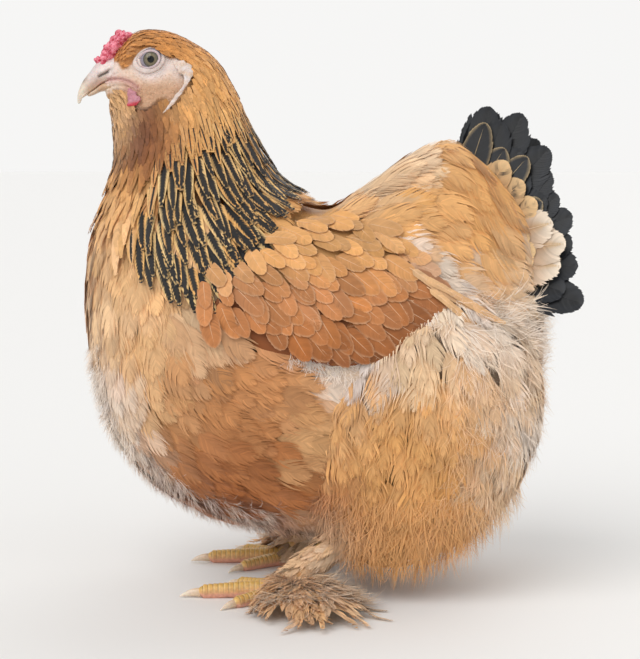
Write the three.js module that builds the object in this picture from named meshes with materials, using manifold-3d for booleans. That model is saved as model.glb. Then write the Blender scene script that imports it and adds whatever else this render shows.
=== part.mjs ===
// A brahma hen, buff with a black-striped hackle and a black tail, standing at rest in life size.
// Millimetres, +Z up. The beak points along -X and the bird's left side faces -Y. The floor is z = 0.
import * as THREE from "three";
import { mergeVertices } from "three/addons/utils/BufferGeometryUtils.js";
import Module from "manifold-3d";

const wasm = await Module();
wasm.setup();

// Driving sizes
const GAP = 0.3;
const SIDES = { left: -1, right: 1 };

// The body from beak to vent, as flat sections across it: the under or breast point and the upper or
// back point as x and z, the half width, and how much fuller the section is below than above.
const BODY_START = [-156.9, 351.1];
const BODY_END = [142.2, 173.6];
const BODY = [
  [[-154.1, 337.4], [-150.8, 367.7], 9, -0.05],
  [[-154.6, 332.5], [-144.8, 375.5], 12.2, -0.1],
  [[-153.7, 327.6], [-133.9, 384.3], 16, -0.1],
  [[-152.8, 322.7], [-115.2, 384.3], 19, -0.08],
  [[-152.4, 315.8], [-96.5, 376.5], 22, -0.05],
  [[-151.5, 306], [-79.9, 363.8], 26, 0],
  [[-151.6, 294.2], [-68.1, 343.3], 29, 0],
  [[-155.7, 279.3], [-59.3, 322.7], 34, 0],
  [[-161.9, 260.5], [-49.5, 302], 42, 0],
  [[-169.2, 236.7], [-36.7, 282.3], 54, 0.05],
  [[-170.6, 198.7], [-19.8, 271.4], 68, 0.08],
  [[-167.2, 153.5], [-4.9, 267.5], 77, 0.1],
  [[-155.7, 110], [4, 268.4], 82, 0.12],
  [[-128.8, 75.4], [12.9, 274.4], 84, 0.15],
  [[-89.7, 50.8], [26.8, 283.3], 86, 0.18],
  [[-44.3, 38.5], [45.6, 295.1], 86, 0.2],
  [[9.3, 33.4], [64.4, 305], 84, 0.22],
  [[57.8, 39.5], [81.2, 309.9], 80, 0.24],
  [[96.1, 55.9], [107.1, 292.2], 73, 0.24],
  [[122.1, 82.5], [130.1, 268.4], 62, 0.22],
  [[137.8, 117.1], [147.3, 241.6], 47, 0.18],
];
const HEAD_END = 4.6;
const NECK_END = 9;
const SIDE_POWER = 0.92;

// The rump behind this line and above this level belongs to the tail: the line's ends, as x and z.
const RUMP_LINE = [[82.1, 316.8], [127.2, 165.6]];
const RUMP_LOW = 183.5;

// The folded wing as a shield on the body's side: its axis, its half heights at even steps along it,
// and its thickness.
const WING_FRONT = [-79.9, 200.5];
const WING_REAR = [86.1, 197.2];
const WING_UPPER = [0, 38, 51, 56, 49, 26, 0];
const WING_LOWER = [0, 24, 33, 37, 32.5, 16.5, 0];
const WING_THICK = 9;
const WING_SUNK = 6;

// Rows of wing coverts, from the shoulder back: the share of the wing's length where their roots are,
// how many lie across it, their length, and how far they slant down in degrees.
const COVERT_ROWS = [
  { share: 0.05, count: 3, long: 29, slant: 40 },
  { share: 0.17, count: 4, long: 31, slant: 38 },
  { share: 0.29, count: 5, long: 32, slant: 32 },
  { share: 0.42, count: 5, long: 33, slant: 24 },
  { share: 0.55, count: 4, long: 34, slant: 14 },
];
const COVERT = { half: 10.4, thick: 1.6, low: -1.6, high: 3.2 };
const FLIGHTS = { count: 6, share: 0.5, step: 0.03, long: 50, grow: 5, half: 8, thick: 1.5, low: -1.5, high: 1.6 };

// The fluff of a thigh, as level sections: front and rear point, and half width.
const THIGH_Y = 52;
const THIGH_START = [63.8, 213.5];
const THIGH_END = [33.8, 22.8];
const THIGH = [
  [[12.2, 190.4], [111.7, 200], 32, 0],
  [[-12.7, 161.5], [135, 173.1], 42, 0],
  [[-26.2, 128.6], [140.3, 132.5], 46, 0],
  [[-24.3, 95.5], [133.9, 97.4], 43, 0],
  [[-14.7, 68.1], [116.9, 67.1], 37, 0],
  [[-3.1, 48.4], [93.8, 44.5], 29, 0],
  [[10.5, 34.6], [68.7, 30.7], 19, 0],
];

// Rows of soft locks down the thigh: the station of their roots, how many go round, length and half width.
const LOCK_ROWS = [
  { station: 1.9, count: 5, long: 54, half: 15 },
  { station: 3.3, count: 5, long: 50, half: 14 },
];
const LOCK = { thick: 3.4, low: -2, high: 3.2 };

// The eye and the parts of the face
const EYE = { x: -123.8, z: 364.2, sunk: 5.2, radius: 8.1 };
const LID = { ring: 8.1, thick: 1.7, tall: 0.86, out: 0.2 };
const BEAK_UPPER = [
  [[-149, 350.2], [-150.8, 367.2], 8.8, 0],
  [[-157.9, 348.2], [-161.2, 363.3], 7.2, -0.1],
  [[-164.9, 343.7], [-167.3, 356.5], 5.6, -0.1],
  [[-170.3, 340.4], [-172.7, 349.2], 3.9, -0.1],
  [[-173.8, 338.2], [-175.5, 342.8], 2.2, 0],
];
const BEAK_UPPER_ENDS = [[-143, 358], [-175.8, 335.5]];
const BEAK_LOWER = [
  [[-150.1, 341.8], [-149, 351.1], 8.4, 0],
  [[-158.5, 343.3], [-157.9, 349.2], 6.2, 0],
  [[-164.9, 341], [-164.9, 344.3], 3.6, 0],
];
const BEAK_LOWER_ENDS = [[-143.1, 346.2], [-169.4, 340.4]];
const NOSTRIL = { x: -157.3, z: 355.4, y: 6.9, long: 3.6, tall: 0.9, deep: 2, lean: 0.48 };
const MOUTH = [[-156.3, 349.4], [-148.9, 351.2], [-142.3, 350.4], [-135.3, 346.9]];
const MOUTH_TALL = 1;
const MOUTH_FROM = 8;
const LOBE = { x: -104.9, z: 346.5, long: 18, wide: 6.5, thick: 3, lean: 0.42 };
const WATTLE = { x: -134.5, z: 338.6, tall: 8, wide: 6, thick: 2.8 };
const EAR = { x: -110.1, z: 363.7, radius: 2.2 };

// The pea comb: three rows of knobs from the beak's root back over the forehead.
const COMB_LINE = [[-158.1, 363.2], [-154.1, 368.6], [-149.9, 374], [-144.3, 380.2]];
const COMB_KNOBS = 5;
const COMB_HIGH = { radius: 4, out: 2.4 };
const COMB_LOW = { radius: 3.2, out: 0.4, apart: 4.4 };

// Leg and foot
const HOCK = [33.1, 53, 62];
const ANKLE = [-28.9, 51, 12];
const ANKLE_TOP = 17;
const SHANK_RADIUS = 8.2;
const TOE_RADIUS = 6.2;
const TOES = {
  middle: { yaw: 2, long: 63, joints: 3, scutes: 9, thick: 1 },
  inner: { yaw: -36, long: 46, joints: 2, scutes: 6, thick: 0.86 },
  outer: { yaw: 40, long: 49, joints: 3, scutes: 6, thick: 0.86 },
  hind: { yaw: 172, long: 29, joints: 1, scutes: 4, thick: 0.76 },
};
const CLAW = { long: 13, radius: 3, drop: 3.4 };

// The tail fan on each side: where it spreads from, and how far it reaches at even turns from top to bottom.
const FAN = { x: 73.8, z: 231, top: 71, bottom: -16.5 };
const FAN_LENGTHS = [110.8, 112.4, 101.2, 93, 92.3, 93.3, 96, 107.2];

// Tiers of tail feathers, from the long ones to the coverts that lie over their roots: how many on a
// side, their reach as a share of the fan's, their half width, and how far outside the fan they lie.
const TAIL_TIERS = [
  { count: 7, reach: 1, half: 14.5, out: 0 },
  { count: 5, reach: 0.84, half: 14.5, out: 3.4 },
  { count: 4, reach: 0.7, half: 14.5, out: 6.6 },
];
const TAIL_THICK = 2.2;

// The hackle lies over the shoulders as a cape: the station where it starts, the angle from the breast
// where its edge starts, and the edge's stations at even turns from there round to the back.
const CAPE = { start: 8.3, from: 0.6, edge: [8.95, 9.2, 10.1, 11.2, 11.7, 11.87, 11.87, 11.87] };

// Rows of hackle feathers, from the lowest up: how far above the cape's edge their tips end, in
// stations, how many go round, their length and their half width.
const HACKLE_ROWS = [
  { back: 0, count: 13, long: 46, half: 11 },
  { back: 0.95, count: 10, long: 44, half: 10.6 },
  { back: 2, count: 8, long: 42, half: 9.8 },
  { back: 3.1, count: 5, long: 38, half: 9 },
];
const HACKLE_THICK = 1.6;
const STAGGER = 1.1;
const HACKLE = { low: 0.9, sunk: -1.6, high: 3.6 };
const CAPE_CORE = { short: 0.45, high: 2.1 };
const CAPE_HIGH = 6.2;

// Foot feathering fans out from the outer toe and the ankle, in two tiers: angles from straight ahead,
// reach at even turns between them, and heights of the roots and tips.
const FOOT_FAN = { from: 58, to: 145, reach: [44, 84, 104, 92, 56], high: 8.5, low: 2.6, thick: 1.5 };
const FOOT_TIERS = [
  { count: 5, reach: 1, half: 7.8, up: 0 },
  { count: 2, reach: 0.72, half: 7.6, up: 3.6 },
];

const vec = (x, y, z) => new THREE.Vector3(x, y, z);
const degrees = THREE.MathUtils.degToRad;
const clamp = THREE.MathUtils.clamp;
const mix = THREE.MathUtils.lerp;

// A closed surface as a solid, turned to face outwards.
function solidOf(geometry) {
  const bare = new THREE.BufferGeometry().setAttribute("position", geometry.getAttribute("position"));
  bare.setIndex(geometry.getIndex());
  const merged = mergeVertices(bare, 1e-3);
  const vertProperties = Float32Array.from(merged.getAttribute("position").array);
  const triVerts = Uint32Array.from(merged.getIndex().array);
  const made = new wasm.Manifold(new wasm.Mesh({ numProp: 3, vertProperties, triVerts }));
  if (made.volume() > 0) return made;
  triVerts.reverse();
  return new wasm.Manifold(new wasm.Mesh({ numProp: 3, vertProperties, triVerts }));
}

// Rings of equal count joined in order, with a fan to a point at each end.
function ringSolid(start, rings, end) {
  const count = rings[0].length;
  const last = 1 + rings.length * count;
  const at = (ring, i) => 1 + ring * count + (i % count);
  const index = [];
  for (let i = 0; i < count; i++) {
    index.push(0, at(0, i + 1), at(0, i));
    for (let ring = 0; ring + 1 < rings.length; ring++) {
      index.push(at(ring, i), at(ring, i + 1), at(ring + 1, i + 1));
      index.push(at(ring, i), at(ring + 1, i + 1), at(ring + 1, i));
    }
    index.push(last, at(rings.length - 1, i), at(rings.length - 1, i + 1));
  }
  const geometry = new THREE.BufferGeometry().setFromPoints([start, ...rings.flat(), end]);
  return solidOf(geometry.setIndex(index));
}

// A feather's vane, or a lock of down: a flat blade with a raised middle, thin edges and a tip. place(k)
// gives its middle line, the way across it and the way up from it, with k from 0 at the root to 1 at the
// tip. Both faces are split into the same triangles.
const LONG_VANE = { at: [0, 0.34, 0.68, 0.9], wide: [0.55, 0.95, 1, 0.66], thick: [1, 1, 0.9, 0.7] };
const SHORT_VANE = { at: [0, 0.5, 0.87], wide: [0.6, 1, 0.74], thick: [1, 1, 0.75] };
function vane(place, half, thick, form = SHORT_VANE) {
  const points = [];
  const index = [0, 3, 2, 0, 2, 1];
  form.at.forEach((k, ring) => {
    const { point, across, up } = place(k);
    const wide = half * form.wide[ring];
    const high = (thick / 2) * form.thick[ring];
    points.push(point.clone().addScaledVector(across, -wide), point.clone().addScaledVector(up, high));
    points.push(point.clone().addScaledVector(across, wide), point.clone().addScaledVector(up, -high));
    if (ring === 0) return;
    const b = 4 * ring;
    const a = b - 4;
    index.push(a, a + 1, b + 1, a, b + 1, b, a + 1, a + 2, b + 1, a + 2, b + 2, b + 1);
    index.push(a + 2, a + 3, b + 3, a + 2, b + 3, b + 2, a + 3, a, b + 3, a, b, b + 3);
  });
  const c = points.length - 4;
  index.push(c, c + 1, c + 4, c + 1, c + 2, c + 4, c + 2, c + 3, c + 4, c + 3, c, c + 4);
  points.push(place(1).point);
  return solidOf(new THREE.BufferGeometry().setFromPoints(points).setIndex(index));
}

// The largest closed surface of a solid: loose scraps go, and sealed hollows fill.
function largest(made) {
  const bodies = made.decompose();
  return bodies.reduce((a, b) => (b.volume() > a.volume() ? b : a));
}

const unite = (pieces) => wasm.Manifold.union(pieces);

// A smooth value at a share from 0 to 1 along a list of evenly spaced values.
function follow(values, share) {
  const line = new THREE.CatmullRomCurve3(values.map((v) => vec(v, 0, 0)), false, "catmullrom", 0.5);
  return line.getPoint(clamp(share, 0, 1)).x;
}

// A body carried through flat sections. A place on it is a station number, which runs past the first and
// last station by 1 over its rounded ends, and an angle round the section from the under point.
class Form {
  constructor(stations, start, end, y = 0) {
    const curve = (points) => new THREE.CatmullRomCurve3(points, false, "catmullrom", 0.5);
    this.under = curve(stations.map(([u]) => vec(u[0], y, u[1])));
    this.upper = curve(stations.map(([, b]) => vec(b[0], y, b[1])));
    this.size = curve(stations.map(([, , half, full]) => vec(half, full, 0)));
    this.start = vec(start[0], y, start[1]);
    this.end = vec(end[0], y, end[1]);
    this.last = stations.length - 1;
  }

  section(station) {
    const share = clamp(station / this.last, 0, 1);
    const under = this.under.getPoint(share);
    const upper = this.upper.getPoint(share);
    const size = this.size.getPoint(share);
    const middle = under.clone().add(upper).multiplyScalar(0.5);
    const arm = under.clone().sub(upper).multiplyScalar(0.5);
    const past = Math.max(-station, station - this.last, 0);
    const turn = (Math.min(past, 1) * Math.PI) / 2;
    middle.lerp(station < 0 ? this.start : this.end, Math.sin(turn));
    const shrink = Math.cos(turn);
    return { middle, arm: arm.clone().normalize(), reach: arm.length() * shrink, half: size.x * shrink, full: size.y };
  }

  at(station, angle, out = 0) {
    const { middle, arm, reach, half, full } = this.section(station);
    const across = Math.sin(angle);
    const wide = Math.sign(across) * Math.abs(across) ** SIDE_POWER * (1 + full * Math.cos(angle));
    return middle.addScaledVector(arm, (reach + out) * Math.cos(angle)).add(vec(0, (half + out) * wide, 0));
  }

  normal(station, angle) {
    const step = 0.02;
    const along = this.at(station + step, angle).sub(this.at(station - step, angle));
    const round = this.at(station, angle + step).sub(this.at(station, angle - step));
    const out = along.cross(round).normalize();
    const middle = this.section(station).middle;
    return out.dot(this.at(station, angle).sub(middle)) < 0 ? out.negate() : out;
  }

  // The station and angle of the surface point that shows at x and z from the side.
  find(x, z, from = 0) {
    const steps = 120;
    let best = null;
    for (let i = 0; i <= steps; i++) {
      const station = mix(from, this.last, i / steps);
      const { middle, arm, reach } = this.section(station);
      const dx = x - middle.x;
      const dz = z - middle.z;
      const off = Math.abs(dx * arm.z - dz * arm.x);
      const along = (dx * arm.x + dz * arm.z) / reach;
      const miss = off + Math.max(0, Math.abs(along) - 1) * reach;
      if (!best || miss < best.miss) best = { miss, station, along };
    }
    const width = (this.last - from) / steps;
    for (let step = width / 2; step > 1e-4; step /= 2) {
      for (const station of [best.station - step, best.station + step]) {
        if (station < from || station > this.last) continue;
        const { middle, arm, reach } = this.section(station);
        const dx = x - middle.x;
        const dz = z - middle.z;
        const off = Math.abs(dx * arm.z - dz * arm.x);
        const along = (dx * arm.x + dz * arm.z) / reach;
        const miss = off + Math.max(0, Math.abs(along) - 1) * reach;
        if (miss < best.miss) best = { miss, station, along };
      }
    }
    return { station: best.station, angle: Math.acos(clamp(best.along, -0.999, 0.999)) };
  }

  solid(stations, sides, out = 0) {
    const rings = stations.map((station) =>
      Array.from({ length: sides }, (_, i) => this.at(station, (i / sides) * 2 * Math.PI, out)),
    );
    const push = (pole, ring) => {
      const away = pole.clone().sub(this.section(ring).middle).normalize();
      return pole.clone().addScaledVector(away, out);
    };
    return ringSolid(push(this.start, 0), rings, push(this.end, this.last));
  }
}

// Station numbers for a form: its rounded ends and its stations, with some steps between.
function stationsOf(form, between = 1, ends = 3) {
  const list = [];
  for (let i = ends - 1; i > 0; i--) list.push(-i / ends);
  for (let i = 0; i <= form.last * between; i++) list.push(i / between);
  for (let i = 1; i < ends; i++) list.push(form.last + i / ends);
  return list;
}

// A vane's middle line as it lies on a form, along the way the stations run: from a height under the
// surface at the root to one over it at the tip, leaning a little so that one edge lies over the next.
function lieOn(form, station, angle, long, { low, high, drift = 0, lean = 0 }) {
  const speed = (at) => form.at(at + 0.02, angle).distanceTo(form.at(at - 0.02, angle)) / 0.04;
  const rough = long / speed(station);
  const reach = long / speed(station + rough / 2);
  return (k) => {
    const s = station + reach * k;
    const a = angle + drift * k;
    const up = form.normal(s, a);
    const point = form.at(s, a).addScaledVector(up, mix(low, high, k ** 0.6));
    const along = form.at(s + 0.03, a + (drift * 0.03) / reach).sub(form.at(s - 0.03, a - (drift * 0.03) / reach));
    const across = along.cross(up).normalize().addScaledVector(up, lean);
    return { point, across, up };
  };
}

// The station a given length back up a form from another.
function backFrom(form, station, angle, long) {
  let at = station;
  for (let i = 0; i < 8; i++) at -= long / 8 / (form.at(at, angle).distanceTo(form.at(at - 0.05, angle)) / 0.05);
  return at;
}

// A plane along a section of a form, facing the way the stations run.
function planeAt(form, station) {
  const { middle, arm } = form.section(station);
  const normal = vec(arm.z, 0, -arm.x);
  const ahead = form.section(station + 0.05).middle.sub(middle);
  if (normal.dot(ahead) < 0) normal.negate();
  return { normal, offset: normal.dot(middle) };
}

function before(made, { normal, offset }) {
  const [x, y, z] = normal.clone().negate().toArray();
  return made.trimByPlane([x, y, z], -(offset - GAP / 2));
}

function after(made, { normal, offset }) {
  return made.trimByPlane(normal.toArray(), offset + GAP / 2);
}

// A rounded knob: a sphere stretched to three half sizes, turned about the Y axis and moved into place.
function knob(place, sizes, lean = 0, wide = 10, tall = 7) {
  const ball = new THREE.SphereGeometry(1, wide, tall);
  ball.scale(...sizes);
  ball.rotateY(lean);
  ball.translate(...place);
  return solidOf(ball);
}

// A repeatable random share from 0 to 1
let seed = 7;
function random() {
  seed = (seed * 16807) % 2147483647;
  return seed / 2147483647;
}

const nodes = [];
function addNode(name, made, material) {
  const mesh = made.getMesh();
  const geometry = new THREE.BufferGeometry();
  geometry.setAttribute("position", new THREE.BufferAttribute(Float32Array.from(mesh.vertProperties), 3));
  geometry.setIndex(new THREE.BufferAttribute(Uint32Array.from(mesh.triVerts), 1));
  geometry.computeVertexNormals();
  const node = new THREE.Mesh(geometry, material);
  node.name = name;
  nodes.push(node);
  return made;
}

const paint = (color, roughness) => new THREE.MeshStandardMaterial({ color, roughness, metalness: 0 });
const BUFF = paint(0xd9a066, 0.85);
const PALE_FLUFF = paint(0xe6c39a, 0.9);
const WING_BUFF = paint(0xc98a4b, 0.8);
const TAIL_BLACK = paint(0x15161a, 0.5);
const COMB_RED = paint(0xd0344a, 0.5);
const FACE_PINK = paint(0xe6c7ae, 0.6);
const HORN = paint(0xe4cba6, 0.4);
const EYE_BROWN = paint(0x6b5a3c, 0.1);
const LEG_YELLOW = paint(0xd8ab5e, 0.5);

// The body whole, and the same a little larger, for cutting what lies on it.
const body = new Form(BODY, BODY_START, BODY_END);
const BODY_SIDES = 24;
const bodySolid = body.solid(stationsOf(body), BODY_SIDES);
const bodyRoom = body.solid(stationsOf(body), BODY_SIDES, GAP);
const headPlane = planeAt(body, HEAD_END);
const neckPlane = planeAt(body, NECK_END);
const rumpPlane = (() => {
  const [top, low] = RUMP_LINE;
  const normal = vec(top[1] - low[1], 0, low[0] - top[0]).normalize();
  return { normal, offset: normal.x * top[0] + normal.z * top[1] };
})();

// A point over the body's side that shows at x and z, a given height above the surface.
function sidePoint(x, z, side, height) {
  const { station, angle } = body.find(x, z, HEAD_END);
  const point = body.at(station, angle * side);
  return point.addScaledVector(body.normal(station, angle * side), height);
}

// How far out the side of the head is at x and z
function faceY(x, z) {
  const { station, angle } = body.find(x, z);
  return body.at(station, angle).y;
}

// Head, with the lids' rings, the brow, the slit of the mouth and the ear's cup
function makeHead() {
  const pieces = [before(bodySolid, headPlane)];
  for (const side of Object.values(SIDES)) {
    const ring = new THREE.TorusGeometry(LID.ring, LID.thick, 4, 12);
    ring.rotateX(Math.PI / 2);
    ring.scale(1.04, 1, LID.tall);
    ring.translate(EYE.x, side * (faceY(EYE.x, EYE.z) + LID.out), EYE.z);
    pieces.push(solidOf(ring));
  }
  const cuts = [];
  for (const side of Object.values(SIDES)) {
    cuts.push(mouthGroove(side));
    cuts.push(eyeBall(side, GAP));
    cuts.push(knob([EAR.x, side * faceY(EAR.x, EAR.z), EAR.z], [EAR.radius, EAR.radius, EAR.radius], 0, 6, 4));
  }
  return largest(unite(pieces).subtract(unite(cuts)));
}

function eyeBall(side, out) {
  const size = EYE.radius + out;
  return knob([EYE.x, side * (faceY(EYE.x, EYE.z) - EYE.sunk), EYE.z], [size, size, size], 0, 10, 7);
}

// The line of the mouth on one side, as a thin bent plate that cuts a groove in the cheek
function mouthGroove(side) {
  const rings = MOUTH.map(([x, z]) => [
    vec(x, side * MOUTH_FROM, z + MOUTH_TALL / 2), vec(x, side * 30, z + MOUTH_TALL / 2),
    vec(x, side * 30, z - MOUTH_TALL / 2), vec(x, side * MOUTH_FROM, z - MOUTH_TALL / 2),
  ]);
  const end = (i) => vec(MOUTH[i][0], side * 18, MOUTH[i][1]);
  return ringSolid(end(0), rings, end(MOUTH.length - 1));
}
const head = addNode("head", makeHead(), FACE_PINK);
for (const [name, side] of Object.entries(SIDES)) addNode(`eye_${name}`, eyeBall(side, 0), EYE_BROWN);

// Beak, with the nostrils' slits through its sides
const upperForm = new Form(BEAK_UPPER, ...BEAK_UPPER_ENDS);
const lowerForm = new Form(BEAK_LOWER, ...BEAK_LOWER_ENDS);
const BEAK_SIDES = 8;

function makeUpperBeak() {
  const nostrils = Object.values(SIDES).map((side) => {
    const { x, y, z, long, tall, deep, lean } = NOSTRIL;
    return knob([x, side * y, z], [long, deep, tall], -lean, 8, 5);
  });
  const whole = upperForm.solid(stationsOf(upperForm, 1), BEAK_SIDES);
  return largest(whole.subtract(unite([bodyRoom, ...nostrils])));
}

function makeLowerBeak() {
  const whole = lowerForm.solid(stationsOf(lowerForm, 1), BEAK_SIDES);
  const upperRoom = upperForm.solid(stationsOf(upperForm, 1), BEAK_SIDES, GAP);
  return largest(whole.subtract(unite([bodyRoom, upperRoom])));
}

addNode("beak_upper", makeUpperBeak(), HORN);
addNode("beak_lower", makeLowerBeak(), HORN);

// Comb: the middle row stands higher than the rows beside it.
function makeComb() {
  const line = new THREE.CatmullRomCurve3(COMB_LINE.map(([x, z]) => vec(x, 0, z)));
  const pieces = [];
  for (let i = 0; i < COMB_KNOBS; i++) {
    const share = (i + 0.5) / COMB_KNOBS;
    const place = line.getPoint(share);
    const along = line.getTangent(share);
    const up = vec(along.z, 0, -along.x).multiplyScalar(-1);
    const swell = 1 - 0.35 * Math.abs(share - 0.62);
    const high = place.clone().addScaledVector(up, COMB_HIGH.out);
    const size = COMB_HIGH.radius * swell;
    pieces.push(knob(high.toArray(), [size, size * 0.9, size * 1.1], 0, 6, 4));
    if (i === COMB_KNOBS - 1) continue;
    for (const side of Object.values(SIDES)) {
      const shifted = line.getPoint(share + 0.1);
      const low = shifted.addScaledVector(up, COMB_LOW.out).add(vec(0, side * COMB_LOW.apart * swell, 0));
      const small = COMB_LOW.radius * swell;
      pieces.push(knob(low.toArray(), [small * 1.15, small, small * 1.15], 0, 5, 4));
    }
  }
  const upperRoom = upperForm.solid(stationsOf(upperForm, 1), BEAK_SIDES, GAP);
  return largest(unite(pieces).subtract(unite([bodyRoom, upperRoom])));
}
addNode("comb", makeComb(), COMB_RED);

// Wattles and ear lobes hang on the cheeks.
for (const [name, side] of Object.entries(SIDES)) {
  const { x, z, tall, wide, thick } = WATTLE;
  const wattle = knob([x, side * (faceY(x, z) + 0.6), z], [wide, thick, tall], 0.3, 8, 5);
  addNode(`wattle_${name}`, largest(wattle.subtract(bodyRoom)), COMB_RED);
  const lobeY = side * (faceY(LOBE.x, LOBE.z) + 0.4);
  const lobe = knob([LOBE.x, lobeY, LOBE.z], [LOBE.wide, LOBE.thick, LOBE.long], LOBE.lean, 8, 6);
  addNode(`ear_lobe_${name}`, largest(lobe.subtract(bodyRoom)), FACE_PINK);
}

// Neck and torso
const torsoRoom = bodyRoom.trimByPlane(neckPlane.normal.toArray(), neckPlane.offset - GAP / 2);
function capeEdge(angle) {
  const off = Math.min(angle, 2 * Math.PI - angle);
  return follow(CAPE.edge, (off - CAPE.from) / (Math.PI - CAPE.from));
}
// The cape's slab over the shoulders, from its start to a given station short of its edge.
function capeSlab(short, high) {
  const rings = [];
  const turns = 18;
  for (let j = 0; j <= turns; j++) {
    const angle = mix(CAPE.from, 2 * Math.PI - CAPE.from, j / turns);
    const line = (height) => [0, 0.33, 0.67, 1].map((k) => {
      const station = mix(CAPE.start, capeEdge(angle) - short, k);
      return body.at(station, angle).addScaledVector(body.normal(station, angle), height(k));
    });
    rings.push([...line((k) => mix(-3, high, Math.min(1, 4 * k))), ...line(() => -3).reverse()]);
  }
  const middle = (ring) => ring.reduce((a, b) => a.clone().add(b)).multiplyScalar(1 / ring.length);
  return ringSolid(middle(rings[0]), rings, middle(rings[turns]));
}
function hackleVanes() {
  const pieces = [];
  HACKLE_ROWS.forEach(({ back, count, long, half }, row) => {
    const from = CAPE.from + 0.12 + 0.1 * row;
    for (let i = 0; i < count; i++) {
      const angle = mix(from, 2 * Math.PI - from, (i + 0.5) / count);
      const length = long * mix(0.93, 1.07, random());
      const tip = capeEdge(angle) - back - (back === 0 ? 0 : 0.12 * random());
      const root = backFrom(body, tip, angle, length);
      const lean = angle < Math.PI ? 0.05 : -0.05;
      const low = root > NECK_END ? HACKLE.low : HACKLE.sunk;
      const high = HACKLE.high + STAGGER * (i % 2);
      pieces.push(vane(lieOn(body, root, angle, length, { low, high, lean }), half, HACKLE_THICK));
    }
  });
  return pieces;
}
const neckCore = after(before(bodySolid, neckPlane), headPlane);
const cape = unite([capeSlab(CAPE_CORE.short, CAPE_CORE.high), ...hackleVanes()]).subtract(torsoRoom);
addNode("neck", largest(after(unite([neckCore, cape]), headPlane)), BUFF);
const capeRoom = capeSlab(-0.16, CAPE_HIGH);
const rump = after(bodySolid, rumpPlane).trimByPlane([0, 0, 1], RUMP_LOW + GAP / 2);
const rumpBlock = bodyRoom.trimByPlane(rumpPlane.normal.toArray(), rumpPlane.offset - GAP / 2);
const rumpRoom = rumpBlock.trimByPlane([0, 0, 1], RUMP_LOW - GAP / 2);
addNode("torso", largest(after(bodySolid, neckPlane).subtract(rumpRoom)), BUFF);
const backRoom = unite([
  bodyRoom.trimByPlane(rumpPlane.normal.clone().negate().toArray(), -rumpPlane.offset - GAP / 2),
  bodyRoom.trimByPlane([0, 0, -1], -RUMP_LOW - GAP / 2),
]);

// Wing: a shield that follows the body's side, thickest in the middle
const WING_STEPS = 8;
const WING_ROWS = 4;
function wingHalf(share, row) {
  return row > 0 ? follow(WING_UPPER, share) : follow(WING_LOWER, share);
}
function wingPlace(share, row, out = 0, past = 0) {
  const x = mix(WING_FRONT[0] - out, WING_REAR[0] + out + past, share);
  const z = mix(WING_FRONT[1], WING_REAR[1], share) + row * (wingHalf(share, row) + out);
  return [x, z];
}
function wingHeight(share, row) {
  return 2.5 + (WING_THICK - 2.5) * Math.sqrt(Math.max(0, 1 - row * row)) * Math.sin(Math.PI * share) ** 0.6;
}
function makeWing(side, out, past = 0) {
  const rings = [];
  for (let i = 1; i < WING_STEPS; i++) {
    const share = i / WING_STEPS;
    const ring = [];
    for (let j = 0; j <= WING_ROWS; j++) {
      const row = Math.cos((Math.PI * j) / WING_ROWS);
      const [x, z] = wingPlace(share, row, out, past);
      ring.push(sidePoint(x, z, side, wingHeight(share, row) + out));
    }
    for (let j = WING_ROWS; j >= 0; j--) {
      const row = 0.94 * Math.cos((Math.PI * j) / WING_ROWS);
      const [x, z] = wingPlace(share, row, out, past);
      ring.push(sidePoint(x, z, side, -WING_SUNK));
    }
    rings.push(ring);
  }
  const start = sidePoint(...WING_FRONT, side, -WING_SUNK / 2);
  const end = sidePoint(...WING_REAR, side, -WING_SUNK / 2);
  return ringSolid(start, rings, end);
}
// A vane's middle line on the wing, from a root along it with a slant down, in millimetres
function lieOnWing(side, share, row, long, { slant, low, high, spread = 1 }) {
  const wingLong = WING_REAR[0] - WING_FRONT[0];
  const turn = degrees(slant);
  const at = (s, r, out) => sidePoint(...wingPlace(s, r), side, wingHeight(clamp(s, 0, 0.97), clamp(r, -0.93, 0.93)) + out);
  return (k) => {
    const s = share + (k * long * Math.cos(turn)) / wingLong;
    const r = (row - (k * long * Math.sin(turn)) / 52) * mix(1, spread, k);
    const up = body.normal(...Object.values(body.find(...wingPlace(s, r), HEAD_END)));
    up.y *= Math.sign(up.y) * side;
    const point = at(s, r, mix(low, high, k ** 0.6));
    const ahead = at(s + 0.02, r - (0.02 * Math.tan(turn) * wingLong) / 52, mix(low, high, k ** 0.6));
    const across = ahead.sub(point).cross(up).normalize().addScaledVector(up, 0.05 * side);
    return { point, across, up };
  };
}
function wingVanes(side) {
  const pieces = [];
  for (const [row, { share, count, long, slant }] of COVERT_ROWS.entries()) {
    for (let i = 0; i < count; i++) {
      const across = mix(-0.62, 0.86, (i + (row % 2 ? 0.3 : 0.7)) / count);
      const length = long * mix(0.94, 1.06, random());
      const high = COVERT.high + STAGGER * (i % 2);
      const place = lieOnWing(side, share + 0.02 * random(), across, length, { slant, low: COVERT.low, high });
      pieces.push(vane(place, COVERT.half, COVERT.thick));
    }
  }
  const { count, share, step, long, grow, half, thick, low, high } = FLIGHTS;
  for (let i = 0; i < count; i++) {
    const row = mix(-0.78, 0.5, i / (count - 1));
    const place = lieOnWing(side, share + step * i, row, long + grow * (i < 3 ? i : 4 - i / 2), { slant: 1, low, high, spread: 0.75 });
    pieces.push(vane(place, half, thick, LONG_VANE));
  }
  return pieces;
}
const wingRoom = {};
for (const [name, side] of Object.entries(SIDES)) {
  const whole = unite([makeWing(side, 0), ...wingVanes(side)]);
  addNode(`wing_${name}`, largest(whole.subtract(unite([bodyRoom, capeRoom]))), WING_BUFF);
  wingRoom[name] = makeWing(side, 6.4, 21);
}

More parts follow.
